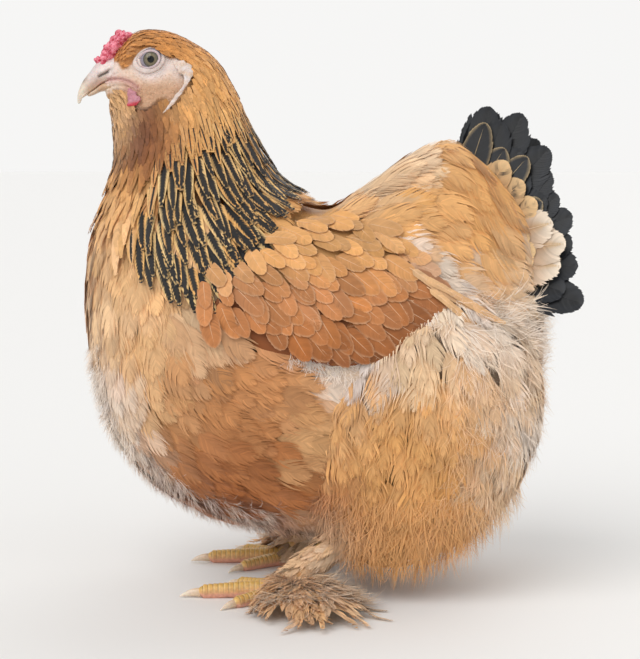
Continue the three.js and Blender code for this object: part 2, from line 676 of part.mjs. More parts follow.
// Thighs: a globe of fluff on each side, cut clear of the body and the wing
const THIGH_SIDES = 14;
function thighLocks(form, side) {
  const pieces = [];
  for (const [row, { station, count, long, half }] of LOCK_ROWS.entries()) {
    for (let i = 0; i < count; i++) {
      const angle = side * mix(0.35, 2.85, (i + (row % 2 ? 0.35 : 0.65)) / count);
      const length = long * mix(0.9, 1.1, random());
      const place = lieOn(form, station + 0.3 * random(), angle, length, { low: LOCK.low, high: LOCK.high, lean: 0.1 });
      pieces.push(vane(place, half, LOCK.thick));
    }
  }
  return pieces;
}
const thighs = {};
for (const [name, side] of Object.entries(SIDES)) {
  const form = new Form(THIGH, THIGH_START, THIGH_END, side * THIGH_Y);
  thighs[name] = form;
  const locks = unite(thighLocks(form, side)).subtract(shankSolid(side, GAP)).decompose();
  const whole = unite([form.solid(stationsOf(form), THIGH_SIDES), ...locks]);
  const made = largest(whole.subtract(unite([bodyRoom, wingRoom[name]])).trimByPlane([0, side, 0], 2));
  addNode(`thigh_${name}`, made, PALE_FLUFF);
}

// Shank from the hock, hidden in the fluff, to the ankle
function tube(points, radii, sides) {
  const rings = points.map((point, i) => {
    const ahead = points[Math.min(i + 1, points.length - 1)].clone();
    const along = ahead.sub(points[Math.max(i - 1, 0)]).normalize();
    const across = vec(0, 1, 0).addScaledVector(along, -along.y).normalize();
    const up = along.clone().cross(across);
    return Array.from({ length: sides }, (_, k) => {
      const turn = (k / sides) * 2 * Math.PI;
      const [wide, tall] = radii[i];
      return point.clone().addScaledVector(across, wide * Math.cos(turn)).addScaledVector(up, tall * Math.sin(turn));
    });
  });
  return { rings };
}

function tubeSolid(points, radii, sides) {
  const { rings } = tube(points, radii, sides);
  return ringSolid(points[0], rings, points[points.length - 1]);
}

function shankSolid(side, out) {
  const [hx, hy, hz] = HOCK;
  const [ax, ay, az] = ANKLE;
  const points = [0, 0.3, 0.7, 1].map((k) => vec(mix(hx, ax, k), side * mix(hy, ay, k), mix(hz, az, k)));
  const size = (k) => SHANK_RADIUS * k + out;
  const girths = [[1.15, 1.3], [0.95, 1.05], [0.92, 1], [1.1, 1.1]];
  return tubeSolid(points, girths.map((girth) => girth.map(size)), 10);
}

// Toes: each is a row of plates on top with a flat sole, ending where its claw starts.
const SCUTE_RISE = 0.7;
const TOE_SIDES = 5;
function toeLine(side, { yaw, long, thick }, share) {
  const turn = degrees(yaw);
  const reach = long * share;
  const x = ANKLE[0] - Math.cos(turn) * reach;
  const y = side * (ANKLE[1] + Math.sin(turn) * reach);
  const high = TOE_RADIUS * thick * mix(1.02, 0.72, share);
  return { point: vec(x, y, high * 0.86), high };
}
function toeSolid(side, toe) {
  const points = [];
  const radii = [];
  const count = toe.scutes;
  for (let i = 0; i < count; i++) {
    for (const [step, rise] of [[i / count, SCUTE_RISE], [(i + 0.86) / count, 0]]) {
      const share = mix(0.13, 1, step);
      const { point, high } = toeLine(side, toe, share);
      const knuckle = 0.5 * Math.cos(Math.PI * share * toe.joints) ** 2;
      points.push(point);
      radii.push([high * 0.86 + knuckle, high + rise]);
    }
  }
  const tip = toeLine(side, toe, 1);
  points.push(tip.point);
  radii.push([tip.high * 0.6, tip.high * 0.7]);
  return tubeSolid(points, radii, TOE_SIDES);
}
function clawSolid(side, toe) {
  const start = toeLine(side, toe, 1);
  const ahead = start.point.clone().sub(toeLine(side, toe, 0.8).point).setZ(0).normalize();
  const from = start.point.clone().addScaledVector(ahead, GAP);
  const points = [0, 0.4, 0.75, 0.97].map((k) => {
    const drop = CLAW.drop * k * k;
    return from.clone().addScaledVector(ahead, CLAW.long * toe.thick * k).add(vec(0, 0, -drop + 0.6 * k));
  });
  const radii = [1, 0.82, 0.5, 0.16].map((k) => [CLAW.radius * toe.thick * k * 0.85, CLAW.radius * toe.thick * k]);
  return tubeSolid(points, radii, 6);
}
// A point on the foot's fan of feathers, and a vane's middle line along it
function footFanPoint(side, turn, reach, up) {
  const { high, low, reach: reaches, from, to } = FOOT_FAN;
  const k = reach / follow(reaches, (turn - from) / (to - from));
  const x = ANKLE[0] - Math.cos(degrees(turn)) * reach;
  const y = side * (ANKLE[1] + Math.sin(degrees(turn)) * reach);
  return vec(x, y, mix(high, low, k) + 5 * Math.sin(Math.PI * k) + up);
}
function footVanes(side) {
  const pieces = [];
  for (const [tier, { count, reach, half, up }] of FOOT_TIERS.entries()) {
    for (let i = 0; i < count; i++) {
      const turn = mix(FOOT_FAN.from, FOOT_FAN.to, (i + (tier ? 0.5 : 0.3)) / count);
      const long = follow(FOOT_FAN.reach, (i + 0.5) / count) * reach * (1 + 0.05 * Math.cos(7 * i + 3 * tier));
      pieces.push(vane((k) => {
        const at = mix(5, long, k);
        const point = footFanPoint(side, turn, at, up);
        const along = footFanPoint(side, turn, at + 0.5, up).sub(footFanPoint(side, turn, at - 0.5, up));
        const level = vec(along.y, -along.x, 0).normalize().multiplyScalar(side);
        const rise = along.clone().cross(level).normalize();
        if (rise.z < 0) rise.negate();
        return { point, across: level.addScaledVector(rise, 0.12), up: rise };
      }, half, FOOT_FAN.thick));
    }
  }
  return pieces;
}
for (const [name, side] of Object.entries(SIDES)) {
  const thighRoom = thighs[name].solid(stationsOf(thighs[name]), THIGH_SIDES, GAP);
  const shankCuts = unite([thighRoom, bodyRoom]);
  const ankle = knob([ANKLE[0], side * ANKLE[1], 7.5], [10, 9.5, 8.5], 0, 8, 6);
  const stub = shankSolid(side, 0).trimByPlane([0, 0, -1], -(ANKLE_TOP - GAP / 2));
  const toes = Object.values(TOES).map((toe) => toeSolid(side, toe));
  const foot = largest(unite([ankle, stub, ...toes, ...footVanes(side)]).trimByPlane([0, 0, 1], 0));
  addNode(`foot_${name}`, foot, LEG_YELLOW);
  const shank = largest(shankSolid(side, 0).subtract(shankCuts).trimByPlane([0, 0, 1], ANKLE_TOP + GAP / 2));
  addNode(`shank_${name}`, shank, LEG_YELLOW);
  for (const [toeName, toe] of Object.entries(TOES)) {
    const claw = clawSolid(side, toe).trimByPlane([0, 0, 1], 0.3);
    addNode(`claw_${toeName}_${name}`, largest(claw), HORN);
  }
}

// Tail: the rump's end with the fan of feathers spread from it on both sides
function fanPoint(side, angle, reach, out) {
  const share = (FAN.top - angle) / (FAN.top - FAN.bottom);
  const turn = degrees(angle);
  const y = side * (4 + share * (14 + 0.32 * reach) + out);
  return vec(FAN.x + reach * Math.cos(turn), y, FAN.z + reach * Math.sin(turn));
}
function tailVanes(side) {
  const pieces = [];
  for (const [tier, { count, reach, half, out }] of TAIL_TIERS.entries()) {
    for (let i = 0; i < count; i++) {
      const share = (i + (tier === 0 ? 0 : 0.35)) / (count - (tier === 0 ? 1 : 0.3));
      const angle = mix(FAN.top, FAN.bottom, share);
      const ray = vec(Math.cos(degrees(angle)), 0, Math.sin(degrees(angle)));
      const clear = rumpPlane.offset + 2.5 - rumpPlane.normal.dot(vec(FAN.x, 0, FAN.z));
      const root = clear / rumpPlane.normal.dot(ray);
      const tip = follow(FAN_LENGTHS, share) * reach * (1 + 0.015 * Math.sin(5 * i + 1));
      pieces.push(vane((k) => {
        const at = mix(root, tip, k);
        const lift = out * Math.min(1, 2.5 * k);
        const point = fanPoint(side, angle, at, lift);
        const along = fanPoint(side, angle, at + 1, lift).sub(point);
        const across = fanPoint(side, angle + 1, at, lift).sub(fanPoint(side, angle - 1, at, lift)).normalize();
        const up = along.cross(across).normalize();
        if (up.y * side < 0) up.negate();
        return { point, across: across.addScaledVector(up, 0.12), up };
      }, half, TAIL_THICK, LONG_VANE));
    }
  }
  return pieces;
}
const tail = unite([rump, ...unite([...tailVanes(-1), ...tailVanes(1)]).subtract(backRoom).decompose()]);
addNode("tail", largest(tail), TAIL_BLACK);

const hen = new THREE.Group();
for (const node of nodes) hen.add(node);
export default hen;
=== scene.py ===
import bpy
import numpy as np
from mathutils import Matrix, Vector


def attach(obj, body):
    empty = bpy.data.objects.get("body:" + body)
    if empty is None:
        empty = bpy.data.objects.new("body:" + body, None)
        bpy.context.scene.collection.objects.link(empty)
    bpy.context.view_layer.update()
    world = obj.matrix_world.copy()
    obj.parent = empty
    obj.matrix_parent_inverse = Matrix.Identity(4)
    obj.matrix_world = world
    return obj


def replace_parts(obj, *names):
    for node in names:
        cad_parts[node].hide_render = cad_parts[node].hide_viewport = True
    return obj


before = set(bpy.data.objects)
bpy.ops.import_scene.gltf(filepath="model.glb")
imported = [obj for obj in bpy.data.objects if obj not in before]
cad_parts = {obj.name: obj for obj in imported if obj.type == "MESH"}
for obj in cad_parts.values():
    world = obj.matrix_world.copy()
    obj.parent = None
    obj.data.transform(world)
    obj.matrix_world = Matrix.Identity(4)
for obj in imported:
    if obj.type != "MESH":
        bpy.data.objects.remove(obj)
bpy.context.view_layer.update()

# Studio
# The model stands on a plain pale floor under large soft lights, seen from its left side at the height
# of its back, as the photograph sees it.
EYE_POINT = Vector((-0.0089, -1.25, 0.300))
AIM_POINT = Vector((-0.0089, 0.0, 0.178))
VIEW_TALL = 0.4613

camera = bpy.data.objects.new("camera", bpy.data.cameras.new("camera"))
camera.data.sensor_fit = "VERTICAL"
camera.data.sensor_height = 36
camera.data.lens = 36 * (AIM_POINT - EYE_POINT).length / VIEW_TALL
camera.location = EYE_POINT
camera.rotation_euler = (AIM_POINT - EYE_POINT).to_track_quat("-Z", "Y").to_euler()
bpy.context.collection.objects.link(camera)
bpy.context.scene.camera = camera

# Wide soft lamps light the floor evenly at every distance: name, where from, width in degrees, strength
LAMPS = [
    ("key", (-0.55, -0.75, 0.85), 50, 1.6),
    ("fill", (0.9, -0.9, 0.35), 90, 0.6),
    ("rim", (0.5, 0.9, 0.8), 60, 0.7),
]
for name, place, width, power in LAMPS:
    lamp = bpy.data.objects.new(name, bpy.data.lights.new(name, "SUN"))
    lamp.data.angle = np.radians(width)
    lamp.data.energy = power
    lamp.location = place
    lamp.rotation_euler = (-Vector(place)).to_track_quat("-Z", "Y").to_euler()
    bpy.context.collection.objects.link(lamp)

world = bpy.data.worlds.new("studio")
world.use_nodes = True
sky_light = world.node_tree.nodes["Background"]
sky_light.inputs["Color"].default_value = (0.97, 0.985, 1.0, 1)
sky_light.inputs["Strength"].default_value = 0.58
# Behind the floor the picture shows the same pale tone as the floor
sky_seen = world.node_tree.nodes.new("ShaderNodeBackground")
sky_seen.inputs["Color"].default_value = (0.99, 0.985, 0.975, 1)
sky_seen.inputs["Strength"].default_value = 0.935
sky_ray = world.node_tree.nodes.new("ShaderNodeLightPath")
sky_mix = world.node_tree.nodes.new("ShaderNodeMixShader")
world.node_tree.links.new(sky_ray.outputs["Is Camera Ray"], sky_mix.inputs[0])
world.node_tree.links.new(sky_light.outputs[0], sky_mix.inputs[1])
world.node_tree.links.new(sky_seen.outputs[0], sky_mix.inputs[2])
world.node_tree.links.new(sky_mix.outputs[0], world.node_tree.nodes["World Output"].inputs["Surface"])
bpy.context.scene.world = world
bpy.context.scene.view_settings.view_transform = "Standard"


def paint(code):
    """Linear red, green and blue from an sRGB hex code."""
    value = np.array([int(code[i : i + 2], 16) / 255 for i in (1, 3, 5)])
    return np.where(value <= 0.04045, value / 12.92, ((value + 0.055) / 1.055) ** 2.4)


def material(name, **settings):
    """A material whose surface shader has the given values on its own sockets."""
    made = bpy.data.materials.new(name)
    made.use_nodes = True
    shader = made.node_tree.nodes["Principled BSDF"]
    for socket, value in settings.items():
        value = (*value, 1) if np.ndim(value) else value
        shader.inputs[socket.replace("_", " ")].default_value = value
    return made


def add(made, kind, inputs=None, **settings):
    """Adds a node to a material, with its settings, its input values and its links."""
    node = made.node_tree.nodes.new(kind)
    for key, value in settings.items():
        setattr(node, key, value)
    for key, value in (inputs or {}).items():
        if isinstance(value, bpy.types.NodeSocket):
            made.node_tree.links.new(value, node.inputs[key])
        else:
            node.inputs[key].default_value = value
    return node


def put(made, socket, value):
    """Links a node's output to the material's surface shader."""
    made.node_tree.links.new(value, made.node_tree.nodes["Principled BSDF"].inputs[socket])


def make_piece(name, points, faces, made, slot, uv=None, tint=None):
    """A mesh from points in millimetres and arrays of three- or four-cornered faces, on the root body when a
    slot is given.
    """
    mesh = bpy.data.meshes.new(name)
    corners = np.concatenate([rows.ravel() for rows in faces]).astype(np.int32)
    sizes = np.concatenate([np.full(len(rows), rows.shape[1]) for rows in faces])
    mesh.vertices.add(len(points))
    mesh.vertices.foreach_set("co", (points / 1000).astype(np.float32).ravel())
    mesh.loops.add(len(corners))
    mesh.loops.foreach_set("vertex_index", corners)
    mesh.polygons.add(len(sizes))
    mesh.polygons.foreach_set("loop_start", (np.cumsum(sizes) - sizes).astype(np.int32))
    mesh.polygons.foreach_set("use_smooth", np.full(len(sizes), True))
    mesh.update(calc_edges=True)
    if uv is not None:
        mesh.uv_layers.new(name="OFBake").data.foreach_set("uv", uv[corners].astype(np.float32).ravel())
    if tint is not None:
        colours = np.ones((len(points), 4), np.float32)
        colours[:, :3] = tint
        mesh.attributes.new("Tint", "FLOAT_COLOR", "POINT").data.foreach_set("color", colours.ravel())
    mesh.materials.append(made)
    piece = bpy.data.objects.new(name, mesh)
    bpy.context.collection.objects.link(piece)
    if slot:
        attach(piece, "root")
    return piece


FLOOR_HALF = 30000
floor_paint = material("matt_painted_floor", Base_Color=paint("#EBE9E6"), Roughness=0.75)
floor_noise = add(floor_paint, "ShaderNodeTexNoise", {"Scale": 90.0, "Detail": 3.0})
floor_grain = add(floor_paint, "ShaderNodeBump", {"Height": floor_noise.outputs["Fac"], "Strength": 0.03})
put(floor_paint, "Normal", floor_grain.outputs["Normal"])
floor_points = FLOOR_HALF * np.array([[-1, -1, 0], [1, -1, 0], [1, 1, 0], [-1, 1, 0]], float)
make_piece("floor", floor_points, [np.arange(4)[None]], floor_paint, None)

# Skin
# The hen's body under the feathers: one skin from the beak's root over the neck, breast and back to the
# vent, with the thighs. It is bare only on the face. It is cast in soft silicone and tinted.
BODY_ENDS = np.array([[-156.9, 351.1], [142.2, 173.6]], float)
# A section of the body a row, from beak to vent: x and z of its under side, x and z of its upper side, half
# width, and fullness, which widens its lower half
BODY = np.array([
    [-154.1, 337.4, -150.8, 367.7, 9, -0.05],
    [-154.6, 332.5, -144.8, 375.5, 12.2, -0.1],
    [-153.7, 327.6, -133.9, 384.3, 16, -0.1],
    [-152.8, 322.7, -115.2, 384.3, 19, -0.08],
    [-152.4, 315.8, -96.5, 376.5, 22, -0.05],
    [-151.5, 306, -79.9, 363.8, 26, 0],
    [-151.6, 294.2, -68.1, 343.3, 29, 0],
    [-155.7, 279.3, -59.3, 322.7, 34, 0],
    [-161.9, 260.5, -49.5, 302, 42, 0],
    [-169.2, 236.7, -36.7, 282.3, 54, 0.05],
    [-170.6, 198.7, -19.8, 271.4, 68, 0.08],
    [-167.2, 153.5, -4.9, 267.5, 77, 0.1],
    [-155.7, 110, 4, 268.4, 82, 0.12],
    [-128.8, 75.4, 12.9, 274.4, 84, 0.15],
    [-89.7, 50.8, 26.8, 283.3, 86, 0.18],
    [-44.3, 38.5, 45.6, 295.1, 86, 0.2],
    [9.3, 33.4, 64.4, 305, 84, 0.22],
    [57.8, 39.5, 81.2, 309.9, 80, 0.24],
    [96.1, 55.9, 107.1, 292.2, 73, 0.24],
    [122.1, 82.5, 130.1, 268.4, 62, 0.22],
    [137.8, 117.1, 147.3, 241.6, 47, 0.18],
], float)
LAST_STATION = len(BODY) - 1
SIDE_POWER = 0.92


def follow(rows, share):
    """Smooth values at shares from 0 to 1 along evenly spaced rows: a cubic through each pair of rows
    whose slopes are half the step between their neighbours."""
    rows = np.asarray(rows, float)
    last = len(rows) - 1
    rows = np.concatenate([[2 * rows[0] - rows[1]], rows, [2 * rows[-1] - rows[-2]]])
    place = np.clip(share, 0, 1) * last
    i = np.minimum(place.astype(int), last - 1)
    t = (place - i).reshape(place.shape + (1,) * (rows.ndim - 1))
    a, b, c, d = (rows[i + k] for k in range(4))
    return b + t * ((c - a) / 2 + t * (a - 2.5 * b + 2 * c - d / 2 + t * (1.5 * (b - c) + (d - a) / 2)))


def unit(vectors):
    """Vectors of length one."""
    return vectors / np.maximum(np.linalg.norm(vectors, axis=-1, keepdims=True), 1e-9)


def section(form, ends, station):
    """Middle, half height along the section, direction down it, half width and fullness at a station.
    Past the first and last station the section shrinks by a quarter circle onto the pole."""
    last = len(form) - 1
    row = follow(form, station / last)
    under, upper = row[..., 0:2], row[..., 2:4]
    arm = (under - upper) / 2
    reach = np.linalg.norm(arm, axis=-1)
    turn = np.clip(np.maximum(-station, station - last), 0, 1) * np.pi / 2
    pole = np.where(station[..., None] < 0, ends[0], ends[1])
    middle = (under + upper) / 2
    middle = middle + (pole - middle) * np.sin(turn)[..., None]
    shrink = np.cos(turn)
    return middle, reach * shrink, arm / reach[..., None], row[..., 4] * shrink, row[..., 5]


def lofted(form, ends, y=0.0):
    """A surface through flat sections, as a function of the station, the angle round the section from
    the under side, and the distance out from it: middle + arm x (reach + out) x cos(angle), with
    y = (half width + out) x sin(angle) to the power 0.92 x (1 + fullness x cos(angle))."""

    def surface(station, angle, out=0.0):
        station, angle = np.broadcast_arrays(np.asarray(station, float), np.asarray(angle, float))
        middle, reach, arm, half, full = section(form, ends, station)
        across = np.sin(angle)
        wide = np.sign(across) * np.abs(across) ** SIDE_POWER * (1 + full * np.cos(angle))
        flat = middle + arm * ((reach + out) * np.cos(angle))[..., None]
        return np.stack([flat[..., 0], y + (half + out) * wide, flat[..., 1]], -1)

    return surface


def frame_on(surface, u, v):
    """The point at u and v on a surface, its direction along u, across it and outwards."""
    here = surface(u, v)
    along = surface(u + 0.01, v) - surface(u - 0.01, v)
    over = surface(u, v + 0.01) - surface(u, v - 0.01)
    up = unit(np.cross(along, over))
    up = up * np.sign(((surface(u, v, 1.0) - here) * up).sum(-1, keepdims=True) + 1e-12)
    along = unit(along)
    across = unit(np.cross(up, along))
    across = across * np.sign((across * over).sum(-1, keepdims=True) + 1e-12)
    return here, along, across, up


body = lofted(BODY, BODY_ENDS)

# The thighs' fluff, lofted down the leg from level sections
THIGH_Y = 52
THIGH_ENDS = np.array([[63.8, 213.5], [33.8, 22.8]], float)
THIGH = np.array([
    [12.2, 190.4, 111.7, 200, 32, 0],
    [-12.7, 161.5, 135, 173.1, 42, 0],
    [-26.2, 128.6, 140.3, 132.5, 46, 0],
    [-24.3, 95.5, 133.9, 97.4, 43, 0],
    [-14.7, 68.1, 116.9, 67.1, 37, 0],
    [-3.1, 48.4, 93.8, 44.5, 29, 0],
    [10.5, 34.6, 68.7, 30.7, 19, 0],
], float)
SIDES = {"left": -1, "right": 1}
thighs = {name: lofted(THIGH, THIGH_ENDS, side * THIGH_Y) for name, side in SIDES.items()}

# Where the feathers' colours lie on the side of the hen: the dyes, and each soft patch's place, size and dye.
DYES = {
    "rust": "#4E1000", "deep": "#AA6632", "brown": "#BA7F4D", "orange": "#C58343",
    "gold": "#DBA262", "buff": "#DFB07C", "sand": "#E5C49E", "white": "#E9DACB",
}
BUFF_PATCHES = [
    (-116, 380, 24, "orange"), (-147, 366, 9, "orange"), (-80, 352, 22, "gold"), (-73, 330, 18, "gold"),
    (-94, 320, 16, "gold"), (-125, 308, 22, "rust"), (-127, 300, 15, "rust"), (-146, 312, 11, "buff"),
    (-149, 332, 10, "buff"), (-104, 303, 14, "orange"), (-120, 285, 14, "orange"), (-145, 262, 18, "gold"),
    (-146, 224, 24, "buff"), (-120, 220, 20, "buff"), (-136, 190, 26, "buff"), (-158, 180, 16, "sand"),
    (-123, 136, 20, "buff"), (-154, 136, 13, "white"), (-137, 103, 14, "white"), (-84, 182, 15, "sand"),
    (-79, 147, 24, "brown"), (-66, 130, 20, "brown"), (-73, 89, 24, "deep"), (-80, 66, 20, "deep"),
    (-105, 95, 16, "brown"), (-22, 140, 24, "brown"), (-2, 114, 20, "buff"), (11, 158, 13, "white"),
    (-10, 70, 24, "deep"), (17, 120, 16, "gold"), (10, 238, 18, "gold"), (-29, 256, 18, "gold"),
    (44, 284, 16, "sand"), (64, 258, 18, "gold"), (111, 262, 20, "gold"), (104, 223, 16, "gold"),
    (69, 220, 14, "white"), (137, 240, 12, "sand"), (126, 204, 13, "sand"), (108, 176, 20, "white"),
    (130, 155, 20, "sand"), (62, 158, 16, "sand"), (89, 130, 20, "buff"), (70, 101, 22, "gold"),
    (125, 112, 15, "white"), (110, 80, 14, "sand"), (57, 55, 20, "gold"), (37, 38, 16, "gold"),
    (-6, 46, 13, "sand"), (30, 80, 22, "gold"),
]


def buff(points):
    """Feather colour at places on the body: the patches' dyes, each weighted by a bell curve of the
    distance from its middle. Far from all patches a faint wide bell takes over."""
    x, z, size = (np.array([patch[k] for patch in BUFF_PATCHES], float) for k in range(3))
    apart = (points[..., 0, None] - x) ** 2 + (points[..., 2, None] - z) ** 2
    weights = np.exp(-apart / (1.2 * size) ** 2) + 1e-4 * np.exp(-apart / 6000)
    colours = np.array([paint(DYES[patch[3]]) for patch in BUFF_PATCHES])
    return weights @ colours / weights.sum(-1, keepdims=True)


def grid_faces(rows, columns, wrap=True, start=0):
    """Four-cornered faces between rows of points, closed round the columns."""
    i = np.arange(rows - 1)[:, None] * columns
    j = np.arange(columns if wrap else columns - 1)[None]
    k = (j + 1) % columns
    return start + np.stack([i + j, i + k, i + columns + k, i + columns + j], -1).reshape(-1, 4)


def closed_loft(points, faces_from=0):
    """Faces of a tube of points whose first and last rows are poles, closed with three-cornered faces."""
    rows, columns = points.shape[:2]
    inner = grid_faces(rows, columns, True, faces_from)
    flat = points.reshape(-1, 3)
    poles = np.array([points[0].mean(0), points[-1].mean(0)])
    j = np.arange(columns)
    k = (j + 1) % columns
    last = (rows - 1) * columns
    first = np.stack([k, j, np.full(columns, rows * columns)], -1) + faces_from
    second = np.stack([last + j, last + k, np.full(columns, rows * columns + 1)], -1) + faces_from
    return np.concatenate([flat, poles]), [inner, np.concatenate([first, second])]


def ripple(points, size, seed=0):
    """A smooth uneven value from -1 to 1 at places: the mean of sines along several slanting directions,
    with waves about size millimetres long."""
    rng = np.random.default_rng(seed)
    total = np.zeros(points.shape[:-1])
    for _ in range(7):
        direction = unit(rng.normal(size=3))
        wave = 2 * np.pi / (size * rng.uniform(0.7, 1.4))
        total += np.sin(points @ direction * wave + rng.uniform(0, 6.3))
    return total / 3.5


# The eye's middle, how far it lies behind the skin's form and its radius, and the line of the mouth
EYE_X, EYE_Z, EYE_SUNK, EYE_RADIUS = -123.8, 364.2, 5.2, 8.1
MOUTH_LINE = np.array([
    [-162.9, 348.2], [-157.4, 350.3], [-151.3, 351.3], [-144.7, 351], [-138.1, 348.8], [-133.3, 345.4]
])


def bell(distance, size):
    """1 at no distance, falling to nothing along a bell curve."""
    return np.exp(-((distance / size) ** 2))


def blend(low, high, value):
    """0 below low, 1 above high, and a smooth step between."""
    t = np.clip((value - low) / (high - low), 0, 1)
    return t * t * (3 - 2 * t)


def off_line(x, z, line, steps=60):
    """Distance in the side view from places to a smooth line."""
    along = follow(line, np.linspace(0, 1, steps))
    return np.sqrt(((x[..., None] - along[:, 0]) ** 2 + (z[..., None] - along[:, 1]) ** 2).min(-1))


def face_relief(points):
    """How far the face stands out: the socket round the eye, the brow over it, the cheek, the fold along
    the mouth and the dip of the ear, each a bell curve of its distance."""
    x, z = points[..., 0], points[..., 2]
    from_eye = np.hypot(x - EYE_X, (z - EYE_Z) * 1.08)
    socket = -1.6 * bell(from_eye - 12.5, 2.6) - 3.0 * bell(from_eye, 7.5)
    brow = 1.6 * bell(np.hypot((x - EYE_X - 2) / 1.7, z - EYE_Z - 12), 4.0)
    lore = -1.5 * bell(np.hypot(x + 142, z - 359), 5.5)
    cheek = 1.7 * bell(np.hypot((x + 121) / 1.4, z - 347), 8.0)
    mouth = off_line(x, z, MOUTH_LINE)
    fold = -1.5 * bell(mouth, 0.75) + 0.8 * bell(mouth - 1.9, 1.0)
    below = np.abs(off_line(x, z, MOUTH_LINE + np.array([3.0, -4.6])))
    jowl = -0.6 * bell(below, 0.6) + 0.35 * bell(below - 1.4, 0.8)
    ear = 0.9 * bell(np.hypot(x + 104, z - 359), 7.5)
    wrinkles = 0.16 * ripple(points * [0.6, 1, 1.6], 4.5, 21) * blend(9, 14, from_eye)
    return socket + brow + lore + cheek + fold + jowl + ear + wrinkles


# Depth of the coat over the skin at each section of the body, and on the thighs
SKIN_DEPTH = [0.6, 0.6, 0.8, 1.0, 2.0, 3.5, 4.5, 6, 8, 9, 9, 9, 9, 9, 9, 9, 9, 9, 9, 9, 9]
THIGH_SKIN_DEPTH = 9.0


def full_turn(count):
    """Evenly spaced angles round a full turn."""
    return np.linspace(0, 2 * np.pi, count, endpoint=False)


def skin_point(station, angle, out=0.0):
    """The skin: the body's form drawn in by the depth of the coat, with the face's relief."""
    depth = follow(SKIN_DEPTH, station / LAST_STATION)
    rough = body(station, angle, out - depth)
    up = frame_on(body, station, angle)[3]
    at_side = np.abs(np.sin(angle)) ** 0.5
    on_head = np.clip((5.5 - station) / 1.5, 0, 1) * at_side
    return rough + up * (face_relief(rough) * on_head)[..., None]


skin_stations = np.concatenate([np.linspace(-0.97, 5, 230), np.linspace(5.05, 20.97, 120)])
skin_angles = full_turn(240)
skin_grid = np.meshgrid(skin_stations, skin_angles, indexing="ij")
skin_points, skin_faces = closed_loft(skin_point(*skin_grid))
skin_where = np.concatenate([np.stack(skin_grid, -1).reshape(-1, 2), [[-1, 0], [21, 0]]])


def bake_place(station, angle):
    """Place of a point of the body on the flat map: the station upwards, the angle sideways."""
    return np.stack(
        [0.02 + 0.64 * (angle / (2 * np.pi) % 1), 0.02 + 0.96 * (np.asarray(station) + 1) / 22], -1
    )


def thigh_bake_place(side, station, angle):
    """Place of a point of a thigh on the flat map, beside the body's."""
    low = 0.02 if side < 0 else 0.52
    return np.stack(
        [0.70 + 0.28 * (angle / (2 * np.pi) % 1), low + 0.46 * (np.asarray(station) + 1) / 8], -1
    )


skin_uv = bake_place(skin_where[:, 0], skin_where[:, 1])
for name, side in SIDES.items():
    grid = np.meshgrid(np.linspace(-0.97, 6.97, 50), full_turn(60), indexing="ij")
    points, faces = closed_loft(thighs[name](*grid, -THIGH_SKIN_DEPTH), len(skin_points))
    where = np.concatenate([np.stack(grid, -1).reshape(-1, 2), [[-1, 0], [7, 0]]])
    skin_points = np.concatenate([skin_points, points])
    skin_faces = skin_faces + faces
    skin_uv = np.concatenate([skin_uv, thigh_bake_place(side, where[:, 0], where[:, 1])])

LIP_PINK, CHEEK_CREAM, CHEEK_TAN, LORE_WHITE = (
    paint(c) for c in ("#C99590", "#DDBFA8", "#C79873", "#E3D2CC")
)
# Outline of the bare face, seen from the side
FACE_LINE = np.array([
    [-166.9, 369], [-157.9, 362.4], [-151.9, 362.8], [-147.4, 362.5], [-143.7, 357.6], [-137.4, 361],
    [-133.7, 367.1], [-127.3, 370.9], [-121.6, 371.6], [-116.6, 368.6], [-111.4, 365], [-104.6, 364.4],
    [-96.7, 359], [-97.3, 353], [-100.3, 345.7], [-105.5, 337.5], [-110.9, 331.7], [-115.6, 327.3],
    [-114.4, 334], [-113.9, 338], [-118.9, 338], [-122, 334.6], [-127.3, 331.5], [-134.3, 331],
    [-139.9, 334], [-142.6, 339.5], [-151.5, 342], [-157.9, 341], [-166.9, 345],
])


def inside_face(points):
    """1 on the bare face and 0 on feathered skin: the winding of the face's outline round a place, made
    soft over 2 mm."""
    line = follow(np.concatenate([FACE_LINE, FACE_LINE[:1]]), np.linspace(0, 1, 232))
    x, z = points[..., 0], points[..., 2]
    angles = np.arctan2(line[:, 1] - z[..., None], line[:, 0] - x[..., None])
    turns = np.diff(angles, axis=-1)
    winding = np.abs(((turns + np.pi) % (2 * np.pi) - np.pi).sum(-1)) / (2 * np.pi)
    gap = np.sqrt(((x[..., None] - line[:, 0]) ** 2 + (z[..., None] - line[:, 1]) ** 2).min(-1))
    return np.clip(0.5 + np.where(winding > 0.5, gap, -gap) / 2, 0, 1)


def face_colour(points):
    """Bare face: cream, tan low on the cheek, white by the beak, ear and eye, pink along the mouth."""
    x, z = points[..., 0], points[..., 2]
    colour = np.broadcast_to(CHEEK_CREAM, points.shape).copy()
    parts = [
        (0.85 * blend(356, 343, z) * blend(-150, -138, x), CHEEK_TAN),
        (bell(np.hypot(x + 155, z - 358), 9), LORE_WHITE),
        (bell(np.hypot(x + 103, z - 360), 8), LORE_WHITE),
        (0.9 * bell(np.hypot(x - EYE_X, z - EYE_Z) - 10.5, 4.0), LORE_WHITE),
        (0.7 * bell(off_line(x, z, MOUTH_LINE), 2.2), LIP_PINK),
        (0.6 * bell(np.hypot(x + 138, z - 343), 4), LIP_PINK),
    ]
    for weight, shade in parts:
        colour += (shade - colour) * weight[..., None]
    return colour


def skin_colour(points):
    """The skin's tint: the coat's own markings where feathers cover it, and the face's where it is bare."""
    near = points[:, 0] < -95
    colour = buff(points) * 0.8
    bare = inside_face(points[near])[:, None]
    colour[near] += (face_colour(points[near]) - colour[near]) * bare
    return colour


